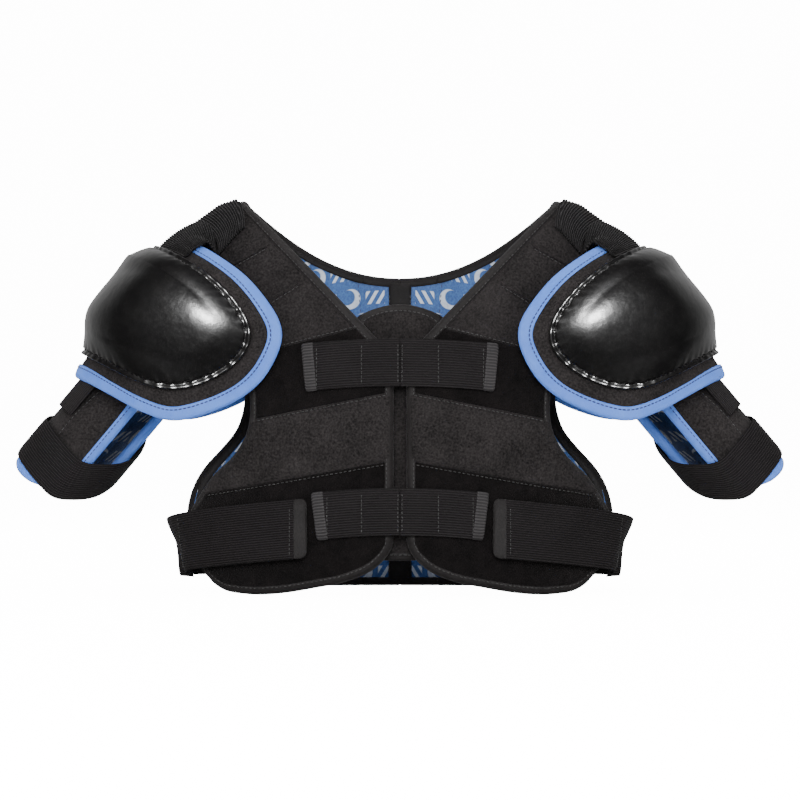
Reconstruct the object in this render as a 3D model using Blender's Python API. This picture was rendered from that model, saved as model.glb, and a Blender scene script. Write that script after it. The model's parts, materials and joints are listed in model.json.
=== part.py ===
"""Youth hockey shoulder pads: a padded vest in two halves that open about the back seam,
with shoulder caps, arm guards, a chest pad and elastic straps.

Units are metres.  +X is the viewer's right, the chest faces -Y, +Z is up.  The origin is under
the chest, at the height of the vest's lowest edge.  "left" pieces are on -X, "right" on +X.
"""
import math

import bmesh
import bpy
from mathutils import Vector

# ---- driving dimensions -------------------------------------------------------------------
GAP = 0.0003                 # clearance between pieces that lie on each other
TORSO_HALF_WIDTH = 0.186     # half width of the body form at the armpits
CHEST_DEPTH = 0.092          # body form in front of the side line
BACK_DEPTH = 0.085           # body form behind the side line
CHEST_HEIGHT = 0.130         # height of the fullest part of the chest
SHOULDER_X = 0.128           # where the neck opening meets the shoulder line
SHOULDER_Z = 0.3175          # height of the shoulder line there
SHOULDER_SLOPE = 0.72        # fall of the shoulder line per metre outwards
ROUNDING = 3.0               # exponent of the profile over the shoulder
HEM_TUCK = 0.08              # how far the hem draws in under the chest

SHELL = 0.0015               # outer fabric
FOAM = 0.0070                # vest padding
LINER = 0.0013               # inner lining
BINDING = 0.0040             # bound edge, measured out from the panels
BINDING_GAP = 0.0008         # its clearance to the panels, whose edges twist a little
CENTRE_GAP = 0.0045          # half of the slot between the two front panels
SPINE_EDGE = 0.0085          # inner edge of each back panel
SPINE_AXIS_Y = 0.0785        # the halves fold about this upright line
SPINE_HALF_WIDTH = 0.0035
SPINE_BACK = BACK_DEPTH + 0.0007
HALF_HINGE = (0, SPINE_AXIS_Y, 0)

PATCH = 0.0012               # loop fastening fabric
BAND = 0.0032                # raised band across each front panel
CHEST_STRAP_WIDTH = 0.038
STRAP_START = 0.0035         # inner end of a chest strap's wing
STRAP_HINGE = 0.0025         # it peels about this distance from the centre line
SIDE_STRAP_WIDTH = 0.050
STRAP = 0.0022               # thickness of the elastic straps
UPPER_STRAP = (0.1855, 0.0745)   # height of the centre line, half length
LOWER_STRAP = (0.0680, 0.0665)

SIDE_STRAP_LIFT = 0.0034     # side strap above the body form
SIDE_STRAP_Z = 0.035         # height of its centre line at the side
SIDE_RISE = 0.0195           # it climbs this much towards the chest
SIDE_TAPER = 0.022           # its lower edge draws in at the fold
SIDE_HINGE_ANGLE = 83.0      # the fold, in degrees round the body from the chest
SIDE_STRAP_ENDS = (23.0, 140.0)

PAD_HALF_WIDTH = 0.036       # chest pad
PAD_CORNER = 0.006
PAD_HEIGHTS = (0.028, 0.05, 0.09, 0.13, 0.17, 0.20, 0.22, 0.232)
PAD_SPREAD = (-1, -0.8, -0.3, 0.3, 0.8, 1)
PAD_LEVEL_TOP = 0.22         # above this the pad no longer follows the panels
PAD_CLEARANCE = 0.0022

CAP_CENTRE = Vector((0.190, 0.0, 0.210))
CAP_RADII = (0.0673, 0.100, 0.0718)   # outwards, front to back, up
CAP_INNER_RADIUS = 0.35               # towards the neck, where the cap is nearly flat
CAP_POLE = Vector((0.84, 0.0, 0.54))  # middle of the dome, on the unit sphere
CAP_COVER = 0.0012
CAP_PLATE = 0.0020
CAP_PAD = 0.0055
CAP_MARGIN = 0.022                    # pad and binding beyond the lip of the cover
CAP_RINGS = (0.4, 0.75, 1.0)          # rings of the dome, as fractions of the way to the lip
# rim of the cap's pad, from the shoulder round the front to the outer side
CAP_RIM = [
    (0.174, 0.0, 0.2865), (0.163, -0.045, 0.282), (0.144, -0.067, 0.271), (0.1225, -0.082, 0.255),
    (0.106, -0.090, 0.236), (0.095, -0.093, 0.217), (0.0945, -0.093, 0.200), (0.106, -0.090, 0.1765),
    (0.123, -0.084, 0.160), (0.149, -0.081, 0.147), (0.180, -0.078, 0.1395), (0.206, -0.068, 0.1465),
    (0.233, -0.048, 0.160), (0.2525, -0.028, 0.170), (0.2655, 0.0, 0.175),
]

CAP_HINGE = (0.172, 0.0, 0.288)

ARM_TILT = math.radians(40)           # arm guard's axis from the vertical
ARM_DOWN = Vector((math.sin(ARM_TILT), 0, -math.cos(ARM_TILT)))
ARM_OUT = Vector((math.cos(ARM_TILT), 0, math.sin(ARM_TILT)))
ARM_HINGE = (0.205, 0.0, 0.190)
ARM_AXIS_OFFSET = 0.2733              # distance of that axis from the origin, across the axis
ARM_RADIUS = 0.0355
ARM_FLATNESS = 0.93                   # depth front to back over width
ARM_SHELL = 0.0013
ARM_FOAM = 0.0045
ARM_LINER = 0.0010
ARM_FRONT_EDGE = -112                 # degrees round the arm; 0 is outwards, -90 the front
ARM_BACK_EDGE = 165
ARM_STRAP_WIDTH = 0.038
ARM_STRAP_LIFT = 0.0018               # arm strap above the guard
ARM_STRAP_HINGE_ANGLE = -104.0        # where its end leaves the guard's front edge
ARM_STRAP_ENDS = (130.0, -224.0)
ARM_TOP = (0.022, 0.030)              # top edge of the guard: middle, and rise towards the outside
ARM_COLUMNS = 12
# end of the guard: (degrees round the arm, distance down it)
ARM_END = [(-112, 0.098), (-75, 0.118), (-40, 0.121), (0, 0.1175), (40, 0.121), (90, 0.121),
           (140, 0.103), (165, 0.086)]

FRONT_COLUMNS = (0.0, 0.07, 0.22, 0.45, 0.72, 0.90, 1.0)
BACK_COLUMNS = (0.0, 0.2, 0.4, 0.6, 0.8, 1.0)   # the fifth column ends at the neck point
BACK_LEVELS = (BINDING, 0.050, 0.095, 0.138)
BACK_ARMPIT_Z = 0.180
BACK_RISE = (0.25, 0.5, 0.75, 1.0)    # rows between the armpit and the top edge
ARCH_ANGLES = (50, 70, 90)
BAND_LOW = (0.109, 0.18)              # seams across a front panel: height at the centre, fall
BAND_HIGH = (0.164, 0.20)
YOKE = (0.2215, 0.25)

# ---- outlines, as (height, distance from the centre line) or (distance, height) -----------
ARMHOLE_FRONT = [(0.025, 0.162), (0.062, 0.1745), (0.072, 0.168), (0.083, 0.161), (0.095, 0.152),
                 (0.1055, 0.1395), (0.121, 0.128), (0.134, 0.123), (0.160, 0.122), (0.190, 0.127),
                 (0.220, 0.137), (0.250, 0.148), (0.285, 0.158), (0.330, 0.158)]
ARMHOLE_BACK = [(0.0, 0.150), (0.015, 0.166), (0.061, 0.179), (0.099, 0.165), (0.113, 0.152),
                (0.129, 0.139), (0.146, 0.133), (0.190, 0.134), (0.220, 0.140), (0.250, 0.148),
                (0.285, 0.158), (0.330, 0.158)]
FRONT_HEM = [(0.0045, 0.046), (0.012, 0.031), (0.031, 0.0215), (0.040, 0.012), (0.069, 0.0055),
             (0.095, 0.001), (0.126, 0.0), (0.145, 0.004), (0.1535, 0.011), (0.162, 0.025)]
NECK_FRONT_POINT = (0.021, 0.208)     # a point on the straight front neck edge
NECK_FRONT_SLOPE = 1.054
NECK_BACK = (0.259, 0.062)            # height at the spine, rise to the shoulder


def interpolate(points, t):
    """Value at t on a polyline of (t, value) points."""
    if t <= points[0][0]:
        return points[0][1]
    for (t0, v0), (t1, v1) in zip(points, points[1:]):
        if t <= t1:
            return v0 + (v1 - v0) * (t - t0) / (t1 - t0)
    return points[-1][1]


# ---- body form ----------------------------------------------------------------------------
def shoulder_height(x):
    """Height of the top of the body form at distance x from the centre line."""
    if x > SHOULDER_X:
        return SHOULDER_Z - SHOULDER_SLOPE * (x - SHOULDER_X)
    return SHOULDER_Z + 0.25 * (SHOULDER_X - x)


def half_depth(x, side):
    """Depth of the body form at x; side is -1 for the chest and +1 for the back."""
    depth = CHEST_DEPTH if side < 0 else BACK_DEPTH
    return depth * math.sqrt(max(1 - (x / TORSO_HALF_WIDTH) ** 2, 1e-4))


def form_y(x, z, side):
    """y of the body form at (x, z)."""
    if z <= CHEST_HEIGHT:
        tuck = HEM_TUCK * ((CHEST_HEIGHT - z) / CHEST_HEIGHT) ** 2 if side < 0 else 0
        return side * half_depth(x, side) * (1 - tuck)
    w = min((z - CHEST_HEIGHT) / (shoulder_height(x) - CHEST_HEIGHT), 1)
    return side * half_depth(x, side) * (1 - w ** ROUNDING) ** (1 / ROUNDING)


def arch_z(x, angle):
    """Height on the profile over the shoulder; angle is 0 at the chest and 90 at the top."""
    w = math.sin(math.radians(angle)) ** (2 / ROUNDING)
    return CHEST_HEIGHT + (shoulder_height(x) - CHEST_HEIGHT) * w


def form_level(x, y, z):
    side = -1 if y < 0 else 1
    tuck = HEM_TUCK * (max(CHEST_HEIGHT - z, 0) / CHEST_HEIGHT) ** 2 if side < 0 else 0
    across = abs(y) / (half_depth(x, side) * (1 - tuck))
    w = max(z - CHEST_HEIGHT, 0) / (shoulder_height(x) - CHEST_HEIGHT)
    return across ** ROUNDING + w ** ROUNDING


def form_normal(p):
    step = 1e-5
    slopes = []
    for axis in range(3):
        ahead = list(p)
        behind = list(p)
        ahead[axis] += step
        behind[axis] -= step
        slopes.append(form_level(*ahead) - form_level(*behind))
    return Vector(slopes).normalized()


def form_point(x, z, side, out=0.0):
    """Point on the body form, moved outwards by out along its normal."""
    p = Vector((x, form_y(x, z, side), z))
    return p + form_normal(p) * out


# ---- mesh helpers -------------------------------------------------------------------------
def material(name, colour, roughness, metallic=0.0):
    mat = bpy.data.materials.get(name)
    if mat is None:
        mat = bpy.data.materials.new(name)
        mat.use_nodes = True
        shader = mat.node_tree.nodes["Principled BSDF"]
        shader.inputs["Base Color"].default_value = (*colour, 1)
        shader.inputs["Roughness"].default_value = roughness
        shader.inputs["Metallic"].default_value = metallic
    return mat


MATERIALS = {
    "black_fabric": ((0.030, 0.028, 0.030), 0.85),
    "loop_fabric": ((0.014, 0.013, 0.013), 0.95),
    "elastic": ((0.026, 0.024, 0.026), 0.80),
    "webbing": ((0.040, 0.037, 0.040), 0.75),
    "blue_binding": ((0.16, 0.31, 0.70), 0.70),
    "blue_liner": ((0.07, 0.19, 0.50), 0.80),
    "foam": ((0.35, 0.35, 0.36), 0.95),
    "gloss_cover": ((0.010, 0.009, 0.010), 0.18),
    "cap_plastic": ((0.02, 0.02, 0.02), 0.45),
}


def add_object(name, bm, mat_name, side=1, origin=None):
    """Makes the object; side -1 mirrors it to -X.  origin is its joint's point, if it moves."""
    origin = Vector(origin) if origin is not None else Vector()
    if side < 0:
        origin.x = -origin.x
    for vert in bm.verts:
        vert.co = Vector((vert.co.x * side, vert.co.y, vert.co.z)) - origin
    bmesh.ops.recalc_face_normals(bm, faces=bm.faces)
    mesh = bpy.data.meshes.new(name)
    bm.to_mesh(mesh)
    bm.free()
    mesh.materials.append(material(mat_name, *MATERIALS[mat_name]))
    mesh.shade_smooth()
    mesh.set_sharp_from_angle(angle=math.radians(40))
    obj = bpy.data.objects.new(name, mesh)
    obj.location = origin
    bpy.context.scene.collection.objects.link(obj)
    return obj


def sheet_solid(outer, inner, ring=False):
    """Closed solid between two grids of points; ring joins the last row to the first."""
    bm = bmesh.new()
    rows = len(outer)
    cols = len(outer[0])
    top = [[bm.verts.new(p) for p in row] for row in outer]
    low = [[bm.verts.new(p) for p in row] for row in inner]
    row_pairs = [(r, (r + 1) % rows) for r in range(rows if ring else rows - 1)]
    for r, s in row_pairs:
        for c in range(cols - 1):
            bm.faces.new((top[r][c], top[r][c + 1], top[s][c + 1], top[s][c]))
            bm.faces.new((low[r][c], low[s][c], low[s][c + 1], low[r][c + 1]))
        bm.faces.new((top[r][0], top[s][0], low[s][0], low[r][0]))
        bm.faces.new((top[r][-1], low[r][-1], low[s][-1], top[s][-1]))
    if not ring:
        for c in range(cols - 1):
            bm.faces.new((top[0][c], low[0][c], low[0][c + 1], top[0][c + 1]))
            bm.faces.new((top[-1][c], top[-1][c + 1], low[-1][c + 1], low[-1][c]))
    return bm


def dome_solid(outer_pole, outer_rings, inner_pole, inner_rings):
    """Closed shell between two domes, each a pole point and rings of points."""
    bm = bmesh.new()
    layers = []
    for pole, rings in ((outer_pole, outer_rings), (inner_pole, inner_rings)):
        tip = bm.verts.new(pole)
        grid = [[bm.verts.new(p) for p in ring] for ring in rings]
        layers.append(grid)
        count = len(grid[0])
        for i in range(count):
            j = (i + 1) % count
            bm.faces.new((tip, grid[0][i], grid[0][j]))
            for a, b in zip(grid, grid[1:]):
                bm.faces.new((a[i], b[i], b[j]))
                bm.faces.new((a[i], b[j], a[j]))
    edge_out, edge_in = layers[0][-1], layers[1][-1]
    for i in range(len(edge_out)):
        j = (i + 1) % len(edge_out)
        bm.faces.new((edge_out[i], edge_out[j], edge_in[j], edge_in[i]))
    return bm


# ---- vest panels --------------------------------------------------------------------------
def crossing(inside, low, high):
    """Bisects for the x where inside(x) changes."""
    for _ in range(40):
        middle = (low + high) / 2
        if inside(middle):
            high = middle
        else:
            low = middle
    return (low + high) / 2


def neck_front_z(x):
    return NECK_FRONT_POINT[1] + NECK_FRONT_SLOPE * (x - NECK_FRONT_POINT[0])


def neck_back_z(x):
    return NECK_BACK[0] + NECK_BACK[1] * (x / SHOULDER_X) ** 2.1


def mix(a, b, t):
    return a + (b - a) * t


def hem_z(x):
    return interpolate(FRONT_HEM, x) + BINDING


def seam_z(x, seam):
    return seam[0] - seam[1] * x


def panel_row(height, side, edge_in, armhole, neck_z, columns):
    """Points (x, z) along one row of a panel; height(x) is the row's height."""
    low_z = height(edge_in)
    if low_z < neck_z(edge_in):
        x_in = edge_in
    else:
        x_in = crossing(lambda x: neck_z(x) > height(x), edge_in, SHOULDER_X)
    x_out = crossing(lambda x: x > interpolate(armhole, height(x)) - BINDING, 0.10, 0.18)
    return [(mix(x_in, x_out, f), height(mix(x_in, x_out, f)), side) for f in columns]


def front_rows():
    """Rows of a front panel from the hem to the top of the shoulder."""
    keys = [hem_z]
    for seam in (BAND_LOW, BAND_HIGH, YOKE):
        keys.append(lambda x, seam=seam: seam_z(x, seam))
    keys.append(lambda x: arch_z(x, ARCH_ANGLES[0]))
    heights = []
    for low, high in zip(keys, keys[1:]):
        heights.append(low)
        heights.append(lambda x, low=low, high=high: mix(low(x), high(x), 0.5))
    for angle in ARCH_ANGLES:
        heights.append(lambda x, angle=angle: arch_z(x, angle))

    def neck(x):
        return neck_front_z(x) - BINDING * 1.4

    edge = CENTRE_GAP + BINDING
    return [panel_row(h, -1, edge, ARMHOLE_FRONT, neck, FRONT_COLUMNS) for h in heights]


def arch_angle(x, z):
    """Angle on the profile over the shoulder at height z; inverse of arch_z."""
    w = min(max((z - CHEST_HEIGHT) / (shoulder_height(x) - CHEST_HEIGHT), 0), 1)
    return math.degrees(math.asin(w ** (ROUNDING / 2)))


def back_rows():
    """Rows up the back: level to the armpit, then fanning out to the neck and shoulder."""
    rows = []
    for height in BACK_LEVELS + (BACK_ARMPIT_Z,):
        x_out = interpolate(ARMHOLE_BACK, height) - BINDING
        rows.append([(mix(SPINE_EDGE, x_out, f), height, 1) for f in BACK_COLUMNS])
    low_out = interpolate(ARMHOLE_BACK, BACK_ARMPIT_Z) - BINDING
    top_out = ARMHOLE_BACK[-1][1] - BINDING
    for rise in BACK_RISE:
        row = []
        for f in BACK_COLUMNS:
            x_top = mix(SPINE_EDGE, top_out, f)
            edge = 90
            if x_top < SHOULDER_X - 0.001:
                edge = arch_angle(x_top, neck_back_z(x_top) - BINDING)
            x = mix(mix(SPINE_EDGE, low_out, f), x_top, rise)
            angle = mix(arch_angle(x, BACK_ARMPIT_Z), edge, rise)
            row.append((x, arch_z(x, angle), 1))
        rows.append(row)
    return rows


def offset_rows(rows, out):
    """3-D points of a panel's rows at a distance from the body form, clear of the seam."""
    grid = []
    for row in rows:
        line = []
        for x, z, side in row:
            p = form_point(x, z, side, out)
            p.y = min(p.y, -GAP / 2) if side < 0 else max(p.y, GAP / 2)
            line.append(p)
        grid.append(line)
    return grid


def panel_solid(rows, high, low):
    return sheet_solid(offset_rows(rows, high), offset_rows(rows, low))


LAYERS = {
    "shell": (0.0, -SHELL, "black_fabric"),
    "foam": (-SHELL - GAP, -SHELL - GAP - FOAM, "foam"),
    "liner": (-SHELL - 2 * GAP - FOAM, -SHELL - 2 * GAP - FOAM - LINER, "blue_liner"),
}
PANEL_DEPTH = SHELL + 2 * GAP + FOAM + LINER


def vest_panels(side, word):
    fronts = front_rows()
    backs = back_rows()
    for layer, (high, low, mat) in LAYERS.items():
        for part, rows in (("front", fronts), ("back", backs)):
            solid = panel_solid(rows, high, low)
            add_object(f"{word}_{part}_{layer}", solid, mat, side, HALF_HINGE)
    inset = [row[:-1] for row in fronts]
    lower = panel_solid(inset[0:3], GAP + PATCH, GAP)
    add_object(f"{word}_lower_loop_patch", lower, "loop_fabric", side, HALF_HINGE)
    band = panel_solid([shift_row(fronts[2], 0.0004), fronts[3], shift_row(fronts[4], -0.0004)],
                       GAP + BAND, GAP)
    add_object(f"{word}_chest_band", band, "black_fabric", side, HALF_HINGE)
    upper = panel_solid(fronts[4:7], GAP + PATCH, GAP)
    add_object(f"{word}_upper_loop_patch", upper, "loop_fabric", side, HALF_HINGE)


def shift_row(row, dz):
    return [(x, z + dz, side) for x, z, side in row]


def edge_binding(side, word):
    """One strip along the whole edge of a half, from the spine hem round to the neck."""
    fronts = front_rows()
    backs = back_rows()
    path = list(backs[0])
    path += [row[-1] for row in backs[1:-1]]
    path += [backs[-1][-1]]
    path += [row[-1] for row in reversed(fronts[1:-1])]
    path += list(reversed(fronts[0]))
    path += [row[0] for row in fronts[1:]]
    neck_columns = [i for i, p in enumerate(backs[-1]) if p[0] < SHOULDER_X - 0.001]
    path += [backs[-1][i] for i in reversed(neck_columns)]
    flat = [form_point(x, z, s) for x, z, s in path]
    normals = [form_normal(p) for p in flat]
    outer = []
    inner = []
    for i, p in enumerate(flat):
        ahead = flat[min(i + 1, len(flat) - 1)] - p
        behind = p - flat[max(i - 1, 0)]
        sides = [d.normalized().cross(normals[i]) for d in (behind, ahead) if d.length > 0]
        out = sum(sides, Vector()).normalized()
        reach = 1 / max(out.dot(sides[0].normalized()), 0.6)
        near = p - out * BINDING_GAP * reach
        far = p - out * BINDING * reach
        outer.append([near + normals[i] * 0.0005, far + normals[i] * 0.0005])
        depth = PANEL_DEPTH + 0.0005
        inner.append([near - normals[i] * depth, far - normals[i] * depth])
    add_object(f"{word}_edge_binding", sheet_solid(outer, inner), "black_fabric", side, HALF_HINGE)


def spine():
    half = SPINE_HALF_WIDTH
    xs = (-half, half)
    front = SPINE_AXIS_Y - 0.0015
    zs = (0.004, NECK_BACK[0] - 0.006)
    outer = [[Vector((x, SPINE_BACK, z)) for x in xs] for z in zs]
    inner = [[Vector((x, front, z)) for x in xs] for z in zs]
    add_object("spine_strip", sheet_solid(outer, inner), "black_fabric")


# ---- chest pad and chest straps -----------------------------------------------------------
def pad_point(x, z, depth):
    """Point on the chest pad, on a circle about the spine so that a half slides over it."""
    panel_back = -form_y(0, min(z, PAD_LEVEL_TOP), -1) - PANEL_DEPTH - 0.0005
    radius = panel_back + SPINE_AXIS_Y - PAD_CLEARANCE - depth
    return Vector((x, SPINE_AXIS_Y - math.sqrt(radius ** 2 - x ** 2), z))


def chest_pad():
    rows = []
    for z in PAD_HEIGHTS:
        width = PAD_HALF_WIDTH
        if z in (PAD_HEIGHTS[0], PAD_HEIGHTS[-1]):
            width -= PAD_CORNER
        rows.append([(width * f, z) for f in PAD_SPREAD])
    layers = (("chest_pad_cover", 0.0, 0.0012, "black_fabric"),
              ("chest_pad_foam", 0.0015, 0.0075, "foam"),
              ("chest_pad_lining", 0.0078, 0.0088, "blue_liner"))
    for name, near, far, mat in layers:
        outer = [[pad_point(x, z, near) for x, z in row] for row in rows]
        inner = [[pad_point(x, z, far) for x, z in row] for row in rows]
        add_object(name, sheet_solid(outer, inner), mat, 1, HALF_HINGE)


def chest_strap(name, side, centre_z, length, lift):
    """Half of a chest strap, from the middle seam outwards over the loop fabric."""
    xs = [mix(STRAP_START, length, f) for f in (0, 0.18, 0.4, 0.6, 0.8, 1.0)]
    half = CHEST_STRAP_WIDTH / 2
    outer = []
    inner = []
    for x in xs:
        drop = 0.004 * (x / length) ** 2
        heights = (centre_z - drop + half, centre_z - drop - half)
        outer.append([form_point(x, z, -1, lift + STRAP) for z in heights])
        inner.append([form_point(x, z, -1, lift) for z in heights])
    hinge = (STRAP_HINGE, form_y(STRAP_HINGE, centre_z, -1) - lift - STRAP / 2, centre_z)
    add_object(name, sheet_solid(outer, inner), "elastic", side, hinge)


# ---- side straps --------------------------------------------------------------------------
def side_strap_point(angle, edge, out):
    """Point on a side strap; edge is -1 at its lower edge and 1 at its upper."""
    t = math.radians(angle)
    depth = (CHEST_DEPTH if angle < 90 else BACK_DEPTH) + SIDE_STRAP_LIFT + out
    near_fold = max(1 - (90 - angle) / 30, 0) if angle < 90 else max(1 - (angle - 90) / 20, 0)
    taper = SIDE_TAPER * (1 - edge) / 2 * near_fold
    width = TORSO_HALF_WIDTH + SIDE_STRAP_LIFT + out - taper
    rise = SIDE_RISE * max(90 - angle, 0) / 67
    z = SIDE_STRAP_Z + rise + edge * SIDE_STRAP_WIDTH / 2 * 0.95
    return Vector((width * math.sin(t), -depth * math.cos(t), z))


def side_strap(side, word):
    fold = side_strap_point(SIDE_HINGE_ANGLE, 0, STRAP / 2)
    front, back = SIDE_STRAP_ENDS
    pieces = ((f"{word}_side_strap", SIDE_HINGE_ANGLE + 1, back, 6, HALF_HINGE),
              (f"{word}_side_strap_end", front, SIDE_HINGE_ANGLE - 1, 7, fold))
    for name, first, last, count, hinge in pieces:
        angles = [mix(first, last, i / count) for i in range(count + 1)]
        outer = [[side_strap_point(a, e, STRAP) for e in (1, -1)] for a in angles]
        inner = [[side_strap_point(a, e, 0) for e in (1, -1)] for a in angles]
        add_object(name, sheet_solid(outer, inner), "elastic", side, hinge)


# ---- webbing over the shoulder ------------------------------------------------------------
def shoulder_webbing(side, word):
    """Webbing from the front yoke over the shoulder, and the one that holds the cap."""
    pieces = ((f"{word}_shoulder_webbing", 0.133, 0.155, 50, 0.0010, 0.0028),
              (f"{word}_cap_webbing", 0.146, 0.171, 70, 0.0036, 0.0050))
    for name, x_in, x_out, low_angle, near, far in pieces:
        angles = [(a, -1) for a in ARCH_ANGLES if a >= low_angle]
        angles += [(a, 1) for a in reversed(ARCH_ANGLES[:-1]) if a >= low_angle]
        xs = (x_in, mix(x_in, x_out, 0.5), x_out)
        outer = [[form_point(x, arch_z(x, a), s, far) for x in xs] for a, s in angles]
        inner = [[form_point(x, arch_z(x, a), s, near) for x in xs] for a, s in angles]
        add_object(name, sheet_solid(outer, inner), "webbing", side, HALF_HINGE)


# ---- shoulder caps ------------------------------------------------------------------------
def cap_unit(p):
    """Position relative to the cap's centre, in units of its radii."""
    q = p - CAP_CENTRE
    inward = CAP_INNER_RADIUS if q.x < 0 else CAP_RADII[0]
    return Vector((q.x / inward, q.y / CAP_RADII[1], q.z / CAP_RADII[2]))


def cap_position(u, depth):
    inward = CAP_INNER_RADIUS if u.x < 0 else CAP_RADII[0]
    return CAP_CENTRE + Vector((u.x * (inward - depth), u.y * (CAP_RADII[1] - depth),
                                u.z * (CAP_RADII[2] - depth)))


def cap_rim():
    front = [Vector(p) for p in CAP_RIM]
    back = [Vector((p.x, -p.y, p.z)) for p in front[1:-1]]
    return front + list(reversed(back))


def cap_meridian(rim_point, f, depth):
    """Point at fraction f of the way from the pole to a rim point."""
    pole = CAP_POLE.normalized()
    end = cap_unit(rim_point)
    size = end.length
    direction = end.normalized()
    angle = math.acos(max(min(pole.dot(direction), 1), -1))
    along = pole * math.sin((1 - f) * angle) + direction * math.sin(f * angle)
    u = along / math.sin(angle) * (1 + (size - 1) * f ** 2)
    return cap_position(u, depth)


def cap_fractions(rim_point):
    """Fractions of a meridian at which the rings of the dome lie; the last is the lip."""
    count = 24
    steps = [cap_meridian(rim_point, i / count, 0) for i in range(count + 1)]
    walked = [(0.0, 0.0)]
    for i in range(count):
        walked.append((walked[-1][0] + (steps[i + 1] - steps[i]).length, (i + 1) / count))
    lip = walked[-1][0] - CAP_MARGIN
    return [interpolate(walked, lip * ring) for ring in CAP_RINGS]


def cap_layer(name, side, mat, near, far, to_rim=False):
    """One layer of the cap out to the lip, or on to the rim of the pad."""
    rim = cap_rim()
    pole = [cap_meridian(rim[0], 0, d) for d in (near, far)]
    fractions = [cap_fractions(p) for p in rim]
    grids = []
    for depth in (near, far):
        rings = [[cap_meridian(p, f[k], depth) for p, f in zip(rim, fractions)]
                 for k in range(len(CAP_RINGS))]
        if to_rim:
            rings.append([cap_meridian(p, 1.0, depth) for p in rim])
        grids.append(rings)
    bm = dome_solid(pole[0], grids[0], pole[1], grids[1])
    add_object(name, bm, mat, side, CAP_HINGE)


def cap_binding(side, word):
    """Bound edge round the cap's pad."""
    rim = cap_rim()
    near = CAP_COVER + CAP_PLATE + 2 * GAP - 0.0005
    far = near + CAP_PAD + 0.001
    outer = []
    inner = []
    for p in rim:
        inward = [cap_meridian(p, 0.95, d) for d in (near, far)]
        edge = [cap_meridian(p, 1.0, d) for d in (near, far)]
        steps = [(e - i).normalized() for e, i in zip(edge, inward)]
        outer.append([edge[0] + steps[0] * GAP * 1.3, edge[0] + steps[0] * BINDING])
        inner.append([edge[1] + steps[0] * GAP * 1.3, edge[1] + steps[0] * BINDING])
    add_object(f"{word}_cap_binding", sheet_solid(outer, inner, ring=True), "blue_binding", side,
               CAP_HINGE)


def shoulder_cap(side, word):
    near = CAP_COVER + GAP
    cap_layer(f"{word}_cap_cover", side, "gloss_cover", 0, CAP_COVER)
    cap_layer(f"{word}_cap_plate", side, "cap_plastic", near, near + CAP_PLATE)
    near += CAP_PLATE + GAP
    cap_layer(f"{word}_cap_pad", side, "black_fabric", near, near + CAP_PAD, to_rim=True)
    cap_binding(side, word)


# ---- arm guards ---------------------------------------------------------------------------
def arm_point(angle, along, radius):
    """Point round the arm; angle 0 is outwards, -90 the front, and along runs down the arm."""
    t = math.radians(angle)
    return (ARM_OUT * (ARM_AXIS_OFFSET + radius * math.cos(t)) + ARM_DOWN * along
            + Vector((0, radius * ARM_FLATNESS * math.sin(t), 0)))


def arm_top(angle):
    return ARM_TOP[0] + ARM_TOP[1] * math.cos(math.radians(angle))


def arm_bottom(angle):
    return interpolate(ARM_END, angle)


def arm_layer(name, side, mat, outer_r, inner_r):
    angles = [mix(ARM_FRONT_EDGE, ARM_BACK_EDGE, i / ARM_COLUMNS) for i in range(ARM_COLUMNS + 1)]
    stations = (0.0, 0.5, 1.0)
    grids = []
    for radius in (outer_r, inner_r):
        grids.append([[arm_point(a, mix(arm_top(a), arm_bottom(a), f), radius) for f in stations]
                      for a in angles])
    add_object(name, sheet_solid(grids[0], grids[1]), mat, side, ARM_HINGE)


def arm_binding(side, word, depth):
    """Bound edge down the front of the guard, round its end and up the back."""
    count = ARM_COLUMNS
    angles = [mix(ARM_FRONT_EDGE, ARM_BACK_EDGE, i / count) for i in range(count + 1)]
    step = math.degrees(BINDING / ARM_RADIUS)
    gap_step = math.degrees(BINDING_GAP / ARM_RADIUS)
    near = []
    far = []
    for f in (0.0, 0.5):
        a = angles[0]
        near.append((a - gap_step, mix(arm_top(a), arm_bottom(a), f)))
        far.append((a - step, mix(arm_top(a), arm_bottom(a), f)))
    for i, a in enumerate(angles):
        corner = -1 if i == 0 else (1 if i == count else 0)
        near.append((a + corner * gap_step, arm_bottom(a) + BINDING_GAP))
        far.append((a + corner * step, arm_bottom(a) + BINDING))
    for f in (0.5, 0.0):
        a = angles[-1]
        near.append((a + gap_step, mix(arm_top(a), arm_bottom(a), f)))
        far.append((a + step, mix(arm_top(a), arm_bottom(a), f)))
    outer = [[arm_point(a, s, ARM_RADIUS + 0.0004) for a, s in pair] for pair in zip(near, far)]
    inner = [[arm_point(a, s, ARM_RADIUS - depth - 0.0004) for a, s in pair]
             for pair in zip(near, far)]
    add_object(f"{word}_arm_binding", sheet_solid(outer, inner), "blue_binding", side, ARM_HINGE)


def arm_strap_line(angle):
    """Distance down the arm of the strap's centre line."""
    if angle < ARM_STRAP_HINGE_ANGLE:
        return 0.1035 - 0.034 * (ARM_STRAP_HINGE_ANGLE - angle) / 76
    if angle < 0:
        return 0.094 + 0.0095 * angle / ARM_STRAP_HINGE_ANGLE
    return 0.094 - 0.019 * angle / 130


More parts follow.
